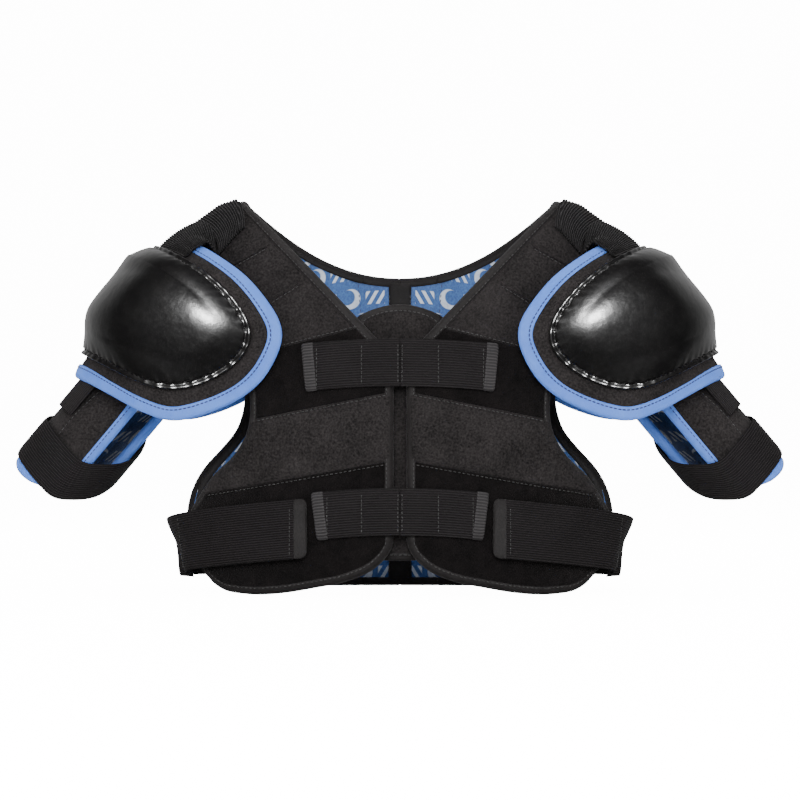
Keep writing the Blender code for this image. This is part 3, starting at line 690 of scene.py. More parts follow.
def print_with_painted_shade(name, ground_dark, ground_light, ink):
    """Lining mesh with a made-up print, rows of crescents and of slanted dashes, and painted shade
    in its folds.
    """
    c = Cloths(name)
    size = 0.021
    row = c.math("FLOOR", c.math("DIVIDE", c.v, size))
    odd = c.math("MODULO", c.math("ABSOLUTE", row), 2.0)
    across = c.math("DIVIDE", c.times(odd, size * 0.5, c.u), size)
    x = c.minus(c.math("FRACT", across), 0.5)
    y = c.minus(c.math("FRACT", c.math("DIVIDE", c.v, size)), 0.5)

    def disc(cx, cy, radius):
        dx = c.minus(x, cx)
        dy = c.minus(y, cy)
        d = c.math("SQRT", c.plus(c.times(dx, dx), c.times(dy, dy)))
        return c.range(d, radius - 0.02, radius + 0.02, 1.0, 0.0)
    crescent = c.times(disc(0, 0, 0.40), c.minus(1.0, disc(0.13, 0.07, 0.30)))
    slant = c.plus(x, c.times(y, 0.6))
    stripes = c.range(c.wave(slant, 0.34), 0.52, 0.62, 0.0, 1.0)
    inside = c.times(c.range(c.math("ABSOLUTE", x), 0.36, 0.40, 1.0, 0.0),
                     c.range(c.math("ABSOLUTE", y), 0.24, 0.28, 1.0, 0.0))
    dashes = c.times(stripes, inside)
    pick = c.math("MODULO", c.math("ABSOLUTE", c.plus(c.math("FLOOR", across), odd)), 2.0)
    mark = c.plus(c.times(crescent, pick), c.times(dashes, c.minus(1.0, pick)))
    holes = c.cells(0.0016, where=c.uv)
    wear = c.noise(0.02, 3.0)
    mark = c.times(mark, c.range(c.noise(0.003, 3.0), 0.25, 0.5, 0.75, 1.0))
    ground = c.blend(c.times(holes, 0.6, c.times(wear, 0.5)), ground_dark, ground_light)
    height = c.times(holes, -1.0, c.times(mark, 0.3))
    # painted shade: ambient occlusion blends the lining's colour towards a dark navy in its folds
    # and hollows
    fold = c.node("ShaderNodeAmbientOcclusion", samples=4)
    fold.inputs["Distance"].default_value = 0.09
    shade = c.math("POWER", fold.outputs["AO"], 1.2)
    colour = c.blend(shade, linear(4, 8, 26), c.blend(mark, ground, ink))
    return c.finish(colour, height, 0.0003, 0.75, 0.03, specular=0.2)


def gloss(name):
    """Coated cover: deep black, a fine grain, and duller rubbed places."""
    c = Cloths(name)
    grain = c.cells(0.0011, feature="SMOOTH_F1")
    soft = c.noise(0.011, 2.0)
    scuff = c.noise(0.0035, 4.0, 0.7)
    colour = c.blend(c.range(soft, 0.3, 0.7, 0.0, 1.0), linear(7, 6, 7), linear(13, 12, 12))
    height = c.times(grain, 0.06, c.times(soft, 0.9))
    made = c.finish(colour, height, 0.0005, c.range(scuff, 0.45, 0.75, 0.29, 0.35), 0.0,
                    specular=0.8)
    c.shader.inputs["Coat Weight"].default_value = 0.12
    c.shader.inputs["Coat Roughness"].default_value = 0.28
    return made


def moulded(name):
    """Plastic with a fine spark finish."""
    c = Cloths(name)
    spark = c.noise(0.0007, 2.0)
    flow = c.noise(0.03, 2.0)
    return c.finish(c.blend(flow, linear(24, 24, 25), linear(38, 38, 40)), spark, 0.0001,
                    c.range(flow, 0.3, 0.7, 0.4, 0.55))


def thread(name, dark, light):
    c = Cloths(name)
    twist = c.wave(c.plus(c.u, c.v), 0.0006)
    return c.finish(c.blend(twist, dark, light), twist, 0.0001, 0.55, 0.1)


def palette():
    """Each material with the CAD slot that it stands for."""
    rib_webbing = ribbed("shoulder_webbing_rib", linear(2, 2, 2), linear(50, 48, 49), RIB, 0.0006,
                         sharp=5.0)
    lining = print_with_painted_shade("printed_lining_painted_shade", linear(30, 60, 116), linear(72, 114, 176),
                     linear(206, 214, 226))
    return {
        "knit": (knit("brushed_knit", linear(5, 4, 4), linear(46, 43, 43)), "black_fabric"),
        "velour": (velour("loop_velour", linear(3, 3, 3), linear(24, 21, 21)), "loop_fabric"),
        "elastic": (ribbed("elastic_rib", linear(6, 5, 5), linear(32, 29, 30), 0.0020), "elastic"),
        "webbing": (rib_webbing, "webbing"),
        "hook": (ribbed("hook_tape", linear(20, 19, 19), linear(52, 50, 51), 0.0024, 0.0002, 0.5),
                 "elastic"),
        "black_tape": (tape("black_tape", linear(9, 8, 8), linear(36, 33, 33)), "black_fabric"),
        "blue_tape": (tape("blue_tape", linear(52, 92, 184), linear(96, 138, 218), 0.5, 0.06),
                      "blue_binding"),
        "lining": (lining, "blue_liner"),
        "gloss": (gloss("coated_cover"), "gloss_cover"),
        "plastic": (moulded("moulded_plate"), "cap_plastic"),
        "black_thread": (thread("black_thread", linear(5, 4, 4), linear(24, 22, 22)),
                         "black_fabric"),
        "blue_thread": (thread("blue_thread", linear(6, 12, 48), linear(24, 40, 104)),
                        "blue_binding"),
    }


MATERIALS = palette()
BOTH_SIDES = (("left_", -1), ("right_", 1))
MIDDLE = (("", 1),)                                  # a piece on the centre line
UNSIDED = {"spine", "left_half", "spine_strip"}      # bodies and nodes there is only one of


def place(name, solid, mat, body, nodes=(), levels=0, bend=None, sides=BOTH_SIDES):
    """Makes a piece on each side, attached to its body; with a bend (other body, start, end) it is
    baked in place instead.
    """
    material, slot = MATERIALS[mat]
    for word, side in sides:
        def sided(own):
            return own if own in UNSIDED else word + own
        obj = make(sided(name), solid, material, side, levels)
        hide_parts(*[sided(node) for node in nodes])
        if bend is None:
            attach(obj, sided(body))
        else:
            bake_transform(obj)


def sew(name, points, normals, sideways, lift, body, thread_kind="black_thread", bend=None, **size):
    """Places a row of stitches along a path."""
    row = stitches(points, normals, sideways, lift, **size)
    place(name, row, thread_kind, body, (), 0, bend)


# ---- sweeps -------------------------------------------------------------------------------
def path_frame(points, normals, closed=False):
    """Unit tangent, normal and sideways vectors along a path on a surface."""
    if closed:
        tangent = np.roll(points, -1, 0) - np.roll(points, 1, 0)
    else:
        tangent = np.gradient(points, axis=0)
    tangent = unit(tangent)
    normals = unit(normals - tangent * np.sum(tangent * normals, -1, keepdims=True))
    return tangent, normals, np.cross(tangent, normals)


def resample(points, normals, spacing, smoothing=3, closed=False):
    """Evenly spaced, softened copy of a path and its normals."""
    if closed:
        points = np.concatenate([points, points[:1]])
        normals = np.concatenate([normals, normals[:1]])
    walked = lengths(points[None], 1)[0]
    count = max(int(walked[-1] / spacing), 4)
    at = np.linspace(0, walked[-1], count, endpoint=not closed)
    made = [np.stack([np.interp(at, walked, a[:, k]) for k in range(3)], -1)
            for a in (points, normals)]
    for _ in range(smoothing):
        for a in made:
            if closed:
                a[:] = (np.roll(a, 1, 0) + 2 * a + np.roll(a, -1, 0)) / 4
            else:
                a[1:-1] = (a[:-2] + 2 * a[1:-1] + a[2:]) / 4
    return made[0], unit(made[1])


def sweep(points, normals, profile, closed=False):
    """Rings of points: the profile is (sideways, along the normal) at each step of a path."""
    _, up, side = path_frame(points, normals, closed)
    profile = np.array(profile)
    return (points[:, None] + side[:, None] * profile[None, :, :1]
            + up[:, None] * profile[None, :, 1:])


def bound_profile(inward, outward, top, bottom, count=9):
    """Closed outline of an edge tape that wraps an edge; sideways is outwards."""
    middle, half = (top + bottom) / 2, (top - bottom) / 2
    round_end = min(half, outward * 0.9 + inward * 0.2)
    face = [(-inward + 0.0003, top - 0.0006), (-inward, top - 0.0009)]
    points = []
    for t in np.linspace(90, -90, count):
        a = math.radians(t)
        points.append((outward - round_end * (1 - math.cos(a)), middle + half * math.sin(a)))
    start = points[0][0]
    top_line = [(mix(-inward + 0.0012, start, f), top) for f in (0.0, 0.5)]
    low_line = [(mix(start, -inward + 0.0012, f), bottom) for f in (0.5, 1.0)]
    back = [(-inward, bottom + 0.0009)]
    return face[::-1] + top_line + points + low_line + back


def stitches(points, normals, sideways, lift, length=STITCH, pitch=STITCH_PITCH, width=0.00045,
             closed=False):
    """A row of small thread stitches along a path."""
    tangent, up, side = path_frame(points, normals, closed)
    line = points + side * sideways + up * lift
    walked = lengths(line[None], 1)[0]
    made = Solid()
    profile = ((-0.5, 0.25), (-0.3, 0.9), (0.3, 0.9), (0.5, 0.25))
    ring = [(1, 0), (0, 1), (-1, 0), (0, -1)]
    for at in np.arange(pitch, walked[-1] - pitch, pitch):
        def value(a):
            return np.array([np.interp(at, walked, a[:, k]) for k in range(3)])
        p, t, n, s = value(line), value(tangent), value(up), value(side)
        rings = [[p + t * length * e + (s * c * width + n * d * width * 0.7) * r for c, d in ring]
                 for e, r in profile]
        made.tube(np.array(rings))
    return made


def strip(centre, normals, half_width, thickness, columns=13, lift=0.0, round_ends=0.0):
    """A flat strap along a path of centre points: rows along it, columns across."""
    _, up, side = path_frame(centre, normals)
    w = np.linspace(-1, 1, columns)
    walked = lengths(centre[None], 1)[0]
    width = np.full(len(centre), half_width)
    if round_ends:
        left = np.clip(1 - (walked[-1] - walked) / round_ends, 0, 1)
        width = width - round_ends * (1 - np.sqrt(1 - left ** 2)) * 0.7
    thin = 1 - 0.45 * np.abs(w) ** 10
    base = centre[:, None] + side[:, None] * (w[None, :, None] * width[:, None, None])
    top = base + up[:, None] * (lift + thickness * thin)[None, :, None]
    low = base + up[:, None] * (lift + thickness * (1 - thin))[None, :, None]
    uv = np.stack(np.broadcast_arrays(w[None] * half_width, walked[:, None]), -1)
    return Solid().sheet(top, low, uv)


# ---- vest ---------------------------------------------------------------------------------
MARGIN = 0.0015              # panels reach this close to the bound edge's outside
TAPE_EDGE = 0.004            # bound edge outside the path the tape is swept along
OVERLAP = 0.0015             # tapes that meet at the middle run this far past it
SPINE_BEND = 0.032           # edge tape this close to the back's middle seam is made as pieces of the spine
SPINE_FOLD = ("half", (0, SPINE_Y, 0.1), (SPINE_BEND, SPINE_Y, 0.1))
LINING = 0.0012
LINING_GAP = 0.0001          # between a panel's padding and its lining
LOOP_PILE = 0.0010           # loop fabric stands this far off a panel
SUNK = 0.0006                # a layer's underside is this far inside the panel
YOKE_SEAMS = (((0.1065, 0.2795), (0.1330, 0.2650)), ((0.0800, 0.2500), (0.1050, 0.2345)))
YOKE_FOLD = [(-0.0011, -0.0008), (-0.0007, 0.0005), (0.0, 0.0008), (0.0008, 0.0004),
             (0.0016, -0.0008)]
BACK_CHANNELS = [11, 22, 33]


def spread(count, crowd=0.6):
    """0 to 1 with the points crowded towards both ends."""
    t = np.linspace(0, 1, count)
    return mix(t, 0.5 - 0.5 * np.cos(math.pi * t), crowd)


def zones(*counts):
    """Line values for zones of the given counts, crowded at each seam, and the seams' rows."""
    values = [k + spread(count + 1)[:-1] for k, count in enumerate(counts)]
    return np.concatenate(values + [[len(counts)]]), np.cumsum(counts).tolist()


def edge_squeeze(grid, bound, depth=SQUEEZE, reach=SQUEEZE_REACH):
    """How far each point of a face draws in beside its bound edges."""
    across, along = lengths(grid, 1), lengths(grid, 0)
    from_edge = {"left": across, "right": across[:, -1:] - across,
                 "first": along, "last": along[-1:] - along}
    nearest = np.min([from_edge[edge] for edge in bound], axis=0)
    return depth * (1 - smoothstep(0, reach, nearest))


def seam_groove(columns, seams, depth, width):
    """How far each column draws in beside the sewn columns; the width is in columns squared."""
    from_seam = np.abs(np.arange(columns)[None] - np.array(seams)[:, None]).min(0)
    return depth * np.exp(-from_seam ** 2 / width)


def borders(rows, columns):
    pins = np.zeros((rows, columns), bool)
    pins[[0, -1]] = True
    pins[:, [0, -1]] = True
    return pins


def padded(outer, inner, pins_outer, pins_inner, limit):
    """Swells a panel and returns its outer and inner faces."""
    pinned = np.concatenate([pins_outer.ravel(), pins_inner.ravel()])
    moved = inflate(Solid().sheet(outer, inner), pinned, PRESSURE, limit)
    size = outer.shape[0] * outer.shape[1]
    return moved[:size].reshape(outer.shape), moved[size:].reshape(inner.shape)


def place_padded(names, faces, normal, body, nodes, lining=LINING, **options):
    """The padded body of a panel and the lining on its inner face."""
    outer, inner = faces
    place(names[0], Solid().sheet(outer, inner + normal * (lining + LINING_GAP)), "knit", body,
          nodes[:2], 1, **options)
    place(names[1], Solid().sheet(inner + normal * lining, inner), "lining", body, nodes[2:], 1,
          **options)


def front_panel():
    vs, seams = zones(22, 20, 18, 16, 10, 10)
    low, high, yoke = seams[:3]
    x, z = front_lines(vs, spread(38, 0.4), MARGIN)
    squeeze = edge_squeeze(form(x, z, -1)[0], ("left", "right", "first"))
    outer, normal = form(x, z, -1, -squeeze)
    inner, _ = form(x, z, -1, -PANEL_DEPTH + squeeze)
    pins = borders(*x.shape)
    pins[seams[:3]] = True
    outer, inner = padded(outer, inner, pins, pins, FRONT_SWELL)
    place_padded(("front_panel", "front_lining"), (outer, inner), normal, "half",
                 ("front_shell", "front_foam", "front_liner"))
    middle = slice(1, -1)
    for name, rows in (("lower_loop", slice(1, low + 1)), ("upper_loop", slice(high, yoke + 1))):
        g, n = outer[rows, middle], normal[rows, middle]
        place(name, Solid().sheet(g + n * LOOP_PILE, g - n * SUNK), "velour", "half",
              (name + "_patch",), 1)
    chest_band(outer[low:high + 1, middle], normal[low:high + 1, middle])
    for name, row, sideways, lift in (("lower", low, 0.0020, 0.0026),
                                      ("middle", high, 0.0020, 0.0026),
                                      ("yoke", yoke, -0.0012, 0.0014)):
        sew(name + "_seam_stitches", outer[row, 2:-2], normal[row, 2:-2], sideways, lift, "half")
    yoke_folds()


def chest_band(face, normal):
    """The raised band across the chest, crowned between its two seams."""
    along = lengths(face, 0)
    rise = smoothstep(0, 0.0045, np.minimum(along, along[-1:] - along))
    crown = np.sin(math.pi * along / along[-1:])
    height = (0.0012 + 0.0013 * rise + 0.0010 * crown)[..., None]
    place("chest_band_pad", Solid().sheet(face + normal * height, face - normal * SUNK), "knit",
          "half", ("chest_band",), 1)


def yoke_folds():
    """Two seams across the smooth yoke, from the neck edge to the armhole."""
    t = np.linspace(0, 1, 24)
    for k, ((x0, z0), (x1, z1)) in enumerate(YOKE_SEAMS, 1):
        points, normals = form(mix(x0, x1, t), mix(z0, z1, t), -1, 0.0006 + 0 * t)
        fold = sweep(points, normals, YOKE_FOLD)
        place(f"yoke_fold_{k}", Solid().tube(fold), "knit", "half")
        sew(f"yoke_stitches_{k}", points, normals, 0.0028, 0.0002, "half")


def back_panel():
    columns = spread(45, 0.15)
    x, z = back_lines(zones(44, 34)[0], columns, MARGIN)
    squeeze = edge_squeeze(form(x, z, 1)[0], ("right", "first", "last"))
    squeeze += seam_groove(len(columns), BACK_CHANNELS, 0.0012, 1.2)
    outer, normal = form(x, z, 1, -squeeze)
    inner, _ = form(x, z, 1, -PANEL_DEPTH + squeeze)
    outer[..., 1] = np.maximum(outer[..., 1], 0.0002)
    pins = borders(*x.shape)
    pins[:, BACK_CHANNELS] = True
    outer, inner = padded(outer, inner, pins, pins, BACK_SWELL)
    outer[:, 0, 0] = inner[:, 0, 0] = 0
    place_padded(("back_panel", "back_lining"), (outer, inner), normal, "spine",
                 ("back_shell", "back_foam", "back_liner"), bend=SPINE_FOLD)
    for k, column in enumerate(BACK_CHANNELS, 1):
        for face, grid, out, kind in (("outer", outer, 1, "black_thread"),
                                      ("inner", inner, -1, "blue_thread")):
            sew(f"back_channel_{face}_{k}", grid[2:-2, column], normal[2:-2, column] * out, 0.0,
                0.0002, "spine", kind, SPINE_FOLD, pitch=0.0042)
    spine_tapes()


def spine_tapes():
    """Tape over the middle seam, inside and out, as one half on each side."""
    x, z = np.meshgrid(np.linspace(0, 0.0100, 7), np.linspace(0.005, NECK_BACK[0] - 0.004, 60))
    fall = np.where(x > 0.0095, 0.0008, 0.0)
    for face, out, near, far, nodes in (
            ("outer", 1, 0.0, 0.0013, ("spine_strip",)),
            ("inner", -1, -PANEL_DEPTH, -PANEL_DEPTH - 0.0014, ())):
        high, normal = form(x, z, 1, far - fall * out)
        low, _ = form(x, z, 1, near)
        high[:, 0, 0] = low[:, 0, 0] = -OVERLAP
        place("spine_tape_" + face, Solid().sheet(high, low), "black_tape", "spine", nodes, 1,
              SPINE_FOLD)
        sew("spine_stitches_" + face, high[1:-1, 5], normal[1:-1, 5] * out, 0.0008, 0.0002,
            "spine", bend=SPINE_FOLD)


def half_edge():
    """Points and normals along the whole edge of a half, from the spine's hem to its neck."""
    line = np.linspace(0, 1, 60)
    one = np.array([1.0])
    top = SHOULDER_X / (ARMHOLE_BACK[-1][1] - TAPE_EDGE)
    runs = [(back_lines([0.0], line, TAPE_EDGE), 1),
            (back_lines(np.linspace(0, 2, 90), one, TAPE_EDGE), 1),
            (front_lines(np.linspace(6, 0, 110), one, TAPE_EDGE), -1),
            (front_lines([0.0], line[::-1], TAPE_EDGE), -1),
            (front_lines(np.linspace(0, 6, 140), one * 0, TAPE_EDGE), -1),
            (back_lines([2.0], np.linspace(top, 0, 70), TAPE_EDGE), 1)]
    made = [form(x.ravel(), z.ravel(), side) for (x, z), side in runs]
    return [np.concatenate([made[0][k]] + [run[k][1:] for run in made[1:]]) for k in (0, 1)]


def edge_tape():
    points, normals = resample(*half_edge(), 0.0028, 5)
    points[[0, -1], 0] = -OVERLAP
    step = np.arange(len(points))
    gather = 0.00025 * np.sin(step * 2.1) * np.sin(step * 0.37)
    profile = bound_profile(0.0040, TAPE_EDGE - 0.0003, 0.0008, -PANEL_DEPTH - 0.0006)
    rings = sweep(points, normals, [(-s, n) for s, n in profile])
    rings += normals[:, None] * gather[:, None, None]
    near_spine = (points[:, 1] > 0) & (points[:, 0] < SPINE_BEND)
    first = int(np.argmin(near_spine))
    last = len(points) - int(np.argmin(near_spine[::-1]))
    for name, part, body, bend, nodes in (
            ("edge_tape", slice(first - 1, last + 1), "half", None, ("edge_binding",)),
            ("edge_tape_hem", slice(0, first + 1), "spine", SPINE_FOLD, ()),
            ("edge_tape_neck", slice(last - 1, None), "spine", SPINE_FOLD, ())):
        place(name, Solid().tube(rings[part]), "black_tape", body, nodes, 1, bend)
        sew(name + "_stitches", points[part], normals[part], 0.0022, 0.0007, body, bend=bend)


# ---- chest pad and straps -----------------------------------------------------------------
CHEST_PAD = 0.0088           # thickness of the chest pad
STRAP_BEND = 0.011           # reach beside a chest strap's middle, given in its bend
HOOK = 0.0088                # length of the hook tape at a strap's tip
STRAP_LIFT = 0.0026          # underside of a chest strap above the panel
ROW_POINTS = 24              # points of a stitched row across a strap
ROW_PITCH = 0.0034


def chest_pad():
    low_box, high_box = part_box("chest_pad_cover")
    half = high_box.x
    v = spread(46, 0.3)[:, None]
    width = half * (1 - 0.16 * (1 - smoothstep(0, 0.16, v)) - 0.05 * smoothstep(0.86, 1, v))
    x = width * np.linspace(-1, 1, 25)[None]
    z = mix(low_box.z + 0.004 * (x / half) ** 4, high_box.z - 0.0105 * (x / half) ** 2, v)
    panel = -form_y(0 * x, np.minimum(z, 0.22), -1) - PANEL_DEPTH - 0.0005

    def face(depth):
        radius = panel + SPINE_Y - 0.0022 - depth
        return np.stack([x, SPINE_Y - np.sqrt(radius ** 2 - x ** 2), z], -1)

    def around(grid):
        return np.concatenate([grid[0, :-1], grid[:-1, -1], grid[-1, :0:-1], grid[:0:-1, 0]])
    squeeze = edge_squeeze(face(0), ("left", "right", "first", "last"), 0.0022, 0.010)
    pins = borders(*x.shape)
    outer, inner = padded(face(squeeze), face(CHEST_PAD - squeeze), pins, pins, CHEST_SWELL)
    normal = grid_normals(outer)
    normal *= -np.sign(normal[20, 12, 1])
    place_padded(("chest_pad_body", "chest_pad_print"), (outer, inner), normal, "left_half",
                 ("chest_pad_cover", "chest_pad_foam", "chest_pad_lining"), 0.0010, sides=MIDDLE)
    points, normals = resample(around(face(0)), around(normal), 0.003, 6, closed=True)
    rings = sweep(points, normals, bound_profile(0.0062, 0.0012, -0.0012, -0.0080), True)
    place("chest_pad_edge", Solid().tube(rings, True), "black_tape", "left_half", (), 1,
          sides=MIDDLE)
    row = stitches(points, normals, -0.0045, -0.0012, closed=True)
    place("chest_pad_stitches", row, "black_thread", "left_half", sides=MIDDLE)


def chest_straps():
    for name in ("upper_strap", "lower_strap"):
        low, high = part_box("right_" + name)
        length = high.x
        centre_z = (low.z + high.z) / 2 + 0.002

        def on_chest(x, above, out):
            return form(x, centre_z + above - 0.004 * (x / length) ** 2, -1, out + 0 * x)
        front = form_y(np.array(0.002), np.array(centre_z), -1)
        bend = (name, (0.0015, front, centre_z), (STRAP_BEND, front, centre_z))
        points, normals = on_chest(np.linspace(0.0, length - 0.002, 40), 0, STRAP_LIFT)
        points += normals * 0.00025 * np.sin(lengths(points[None], 1)[0] / 0.0065)[:, None]
        web = strip(points, normals, CHEST_STRAP / 2, STRAP)
        place(name + "_web", web, "elastic", "left_half", (name,), 1, bend)
        points, normals = on_chest(np.linspace(length - HOOK, length + 0.0005, 12), 0, 0.0023)
        tab = strip(points, normals, CHEST_STRAP / 2 + 0.0004, STRAP + 0.0008, round_ends=0.003)
        place(name + "_hook", tab, "hook", name, (), 1)
        above = np.linspace(-0.46, 0.46, ROW_POINTS) * CHEST_STRAP
        for row, at, body, bent in (("middle", 0.0016, "left_half", bend),
                                    ("outer", 0.0300, name, None),
                                    ("tip", length - HOOK - 0.0014, name, None)):
            points, normals = on_chest(np.full(ROW_POINTS, at), above, STRAP_LIFT + STRAP)
            sew(f"{name}_stitches_{row}", points, normals, 0.0, 0.0001, body, bend=bent,
                pitch=ROW_PITCH)


def strap_sheet(point, walked, half_width, near, far, shorten, ripple):
    """Closed strap on the surface point(edge, out); edge is -1 to 1 across, its end rounded."""
    w = np.linspace(-1, 1, 15)[None]
    edge = w + 0 * walked
    if shorten:
        left = np.clip(1 - (walked[-1:] - walked) / shorten, 0, 1)
        edge = w * (1 - shorten * (1 - np.sqrt(1 - left ** 2)) * 0.8 / half_width)
    thin = 0.5 * (far - near) * np.abs(w) ** 10
    soft = 0.0003 * ripple(edge)
    uv = np.stack(np.broadcast_arrays(w * half_width, walked), -1)
    return Solid().sheet(point(edge, far - thin + soft), point(edge, near + thin + soft), uv)


SIDE_LIFT = 0.0034           # a side strap's underside outside the torso's form
SIDE_RISE = 0.0195           # its front end is this much higher than its fold
SIDE_LOW_Z = 0.035
SIDE_TAPER = 0.022


def side_point(angle, edge, out):
    """Point of a side strap: angle round the torso from the front, edge -1 to 1 across it."""
    angle, edge = np.broadcast_arrays(np.asarray(angle, float), np.asarray(edge, float))
    t = np.radians(angle)
    depth = np.where(angle < 90, CHEST_DEPTH, BACK_DEPTH) + SIDE_LIFT + out
    fold = np.where(angle < 90, 1 - (90 - angle) / 30, 1 - (angle - 90) / 20)
    taper = SIDE_TAPER * (1 - edge) / 2 * smoothstep(0, 1, fold)
    width = TORSO_HALF_WIDTH + SIDE_LIFT + out - taper
    rise = SIDE_RISE * np.maximum(90 - angle, 0) / 67
    z = SIDE_LOW_Z + rise + edge * SIDE_STRAP / 2 * 0.95
    return np.stack([width * np.sin(t), -depth * np.cos(t), z], -1)


def side_sheet(first, last, count, near, far, shorten=0.0):
    angles = np.linspace(first, last, count)[:, None]
    walked = lengths(side_point(angles, np.linspace(-1, 1, 15)[None], near), 0)
    return strap_sheet(lambda edge, out: side_point(angles, edge, out), walked, SIDE_STRAP / 2,
                       near, far, shorten, lambda edge: np.sin(walked / 0.009) * np.sin(edge * 2.0))


def side_straps():
    place("side_web", side_sheet(SIDE_HINGE - 1.2, 141.0, 40, 0.0, STRAP), "elastic", "half",
          ("side_strap",), 1)
    fold = [side_point(a, 0, STRAP / 2) for a in (SIDE_HINGE - 0.5, SIDE_HINGE - 5.5)]
    place("side_web_end", side_sheet(SIDE_HINGE + 1.2, 24.0, 48, 0.0, STRAP, 0.004), "elastic",
          "half", ("side_strap_end",), 1, ("side_strap_end", *fold))
    place("side_hook", side_sheet(26.2, 22.8, 14, -0.0003, STRAP + 0.0006, 0.006), "black_tape",
          "side_strap_end", (), 1)
    for name, angle, body, pitch in (("inner", 27.2, "side_strap_end", ROW_PITCH),
                                     ("outer", 70.0, "side_strap_end", ROW_PITCH),
                                     ("back", 136.0, "half", STITCH_PITCH)):
        across = np.linspace(-0.93, 0.93, ROW_POINTS)
        points = side_point(np.full(ROW_POINTS, angle), across, STRAP)
        sew("side_stitches_" + name, points, unit(points * (1, 1, 0)), 0, 0.0001, body, pitch=pitch)


# ---- shoulder webbing ---------------------------------------------------------------------
WEBBING = 0.0019             # thickness between the ribs' crests and valleys
RIB_HEIGHT = 0.00045
OVER_BINDING = 0.0032        # the cap's webbing clears the rim by this much


def ribbed_band(lower, normal, width):
    """Closed band over a grid whose columns run across the ribs."""
    w = np.linspace(0, 1, lower.shape[1])[None, :, None]
    count = round(width / RIB)
    ribs = RIB_HEIGHT * np.cos(2 * math.pi * w * count)
    edge = 0.0006 * np.abs(2 * w - 1) ** 30
    uv = np.stack(np.broadcast_arrays((w[..., 0] * count + 0.25) * RIB, lengths(lower, 0)), -1)
    return Solid().sheet(lower + normal * (WEBBING + ribs - edge), lower + normal * edge, uv)


def over_shoulder(x, angles, out):
    """Points and normals of a grid that runs over the shoulder, its first row at the front end."""
    front, n_front = form(x, arch_z(x, angles), -1, out)
    back, n_back = form(x, arch_z(x, angles), 1, out)
    return np.concatenate([front, back[-2::-1]]), np.concatenate([n_front, n_back[-2::-1]])


def shoulder_webbing():
    w = np.linspace(0, 1, 129)[None]
    s = np.linspace(0, 1, 30)[:, None]
    climb = smoothstep(0, 1, s)
    x = mix(mix(0.1240, 0.1440, w), mix(0.1305, 0.1630, w), climb)
    angles = mix(mix(54, 47, w), 90, s)
    out = 0.0012 + (0.0026 + 0.0040 * smoothstep(0, 0.4, w)) * climb
    grid, normal = over_shoulder(x, angles, out)
    place("shoulder_webbing_band", ribbed_band(grid, normal, 0.028), "webbing", "half",
          ("shoulder_webbing",))


def lifted(grid, rim, across, out):
    """Raises the rows of a band so that they clear the binding on the cap's rim."""
    above = ((grid - rim) * out).sum(-1)
    beside = ((grid - rim) * across).sum(-1)
    short = np.maximum(OVER_BINDING - above, 0)
    near = smoothstep(-0.009, -0.002, beside) * (1 - smoothstep(0.012, 0.021, beside))
    return grid + out * (short * near)[..., None]


def cap_webbing():
    """Ribbed hinge of the cap: from under the shoulder webbing, over the rim, to the lip."""
    rim = cap_rim(RIM_POINTS)
    across, out = brim_frame(rim)
    lip = rim + across * (BRIM - 0.0010) + out * 0.0024
    last = int(np.argmax(rim[:, 1] < -0.058)) // 2 * 2
    rows = np.arange(last, -last - 1, -2)
    outer = lip[rows, None]
    half = last // 2 + 1
    angles = np.linspace(48, 90, half)[:, None]
    x = mix(0.147, 0.152, smoothstep(48, 90, angles))
    inner, _ = over_shoulder(x, angles, 0.0035 + 0 * angles)
    w = np.linspace(0, 1, 150)[None, :, None]
    edge = np.linspace(-1, 1, len(rows))[:, None, None]
    middle = (inner + outer) / 2 + np.array((0.5, 0, 0.86)) * (0.0080 - 0.0065 * edge ** 2)
    grid = (1 - w) ** 2 * inner + 2 * w * (1 - w) * middle + w ** 2 * outer
    grid = lifted(grid, rim[rows, None], across[rows, None], out[rows, None])
    normal = grid_normals(grid)
    normal *= np.sign(normal[half, 75, 2])
    place("cap_webbing_band", ribbed_band(grid, normal, 0.044), "webbing", "half",
          ("cap_webbing",), 0, ("cap", (0.158, 0, 0.2985), (0.186, 0, 0.2795)))


# ---- shoulder caps ------------------------------------------------------------------------
COVER = 0.0012
PLATE = (0.0014, 0.0031)     # faces of the plate below the dome's surface
PAD_TOP = 0.0034             # the pad's face below the dome's surface
PAD = 0.0055
LIP_STITCH = 0.0055          # stitched line inside the lip of the cover
INNER_RINGS = 34             # steps of the cover from its pole to its first inset
DEEP_INSIDE = 1.0            # stands for the distance from the lip of all the inner rings


def add_dome(solid, rings, tip):
    """Adds a dome of rings closed at its tip; returns the vertex numbers of its last ring."""
    uv = np.stack([rings[..., 1], rings[..., 2] - rings[..., 0] * 0.6], -1)
    index = solid.add_grid(rings, uv)
    wrapped = np.concatenate([index, index[:, :1]], 1)
    solid.quads(wrapped)
    top = int(solid.add_grid(tip.reshape(1, 1, 3), uv[:1, :1])[0, 0])
    solid.faces += [[top, int(a), int(b)] for a, b in zip(wrapped[0], wrapped[0, 1:])]
    return wrapped[-1]


def closed_dome(rings_out, tip_out, rings_in, tip_in):
    solid = Solid()
    edge_out = add_dome(solid, rings_out, tip_out)
    edge_in = add_dome(solid, rings_in, tip_in)
    solid.bridge(edge_in, edge_out)
    return solid


def pucker(walked):
    """Uneven gathers along the stitched lip, about -1 to 1."""
    turn = 2 * math.pi * walked / walked[-1]
    return (0.6 * np.sin(78 * turn + 1.4 * np.sin(7 * turn))
            + 0.3 * np.sin(53 * turn + 2 * np.sin(5 * turn))
            + 0.25 * np.sin(121 * turn + 3 * np.sin(3 * turn)))


def bell(x, middle, width):
    return np.exp(-((x - middle) / width) ** 2)


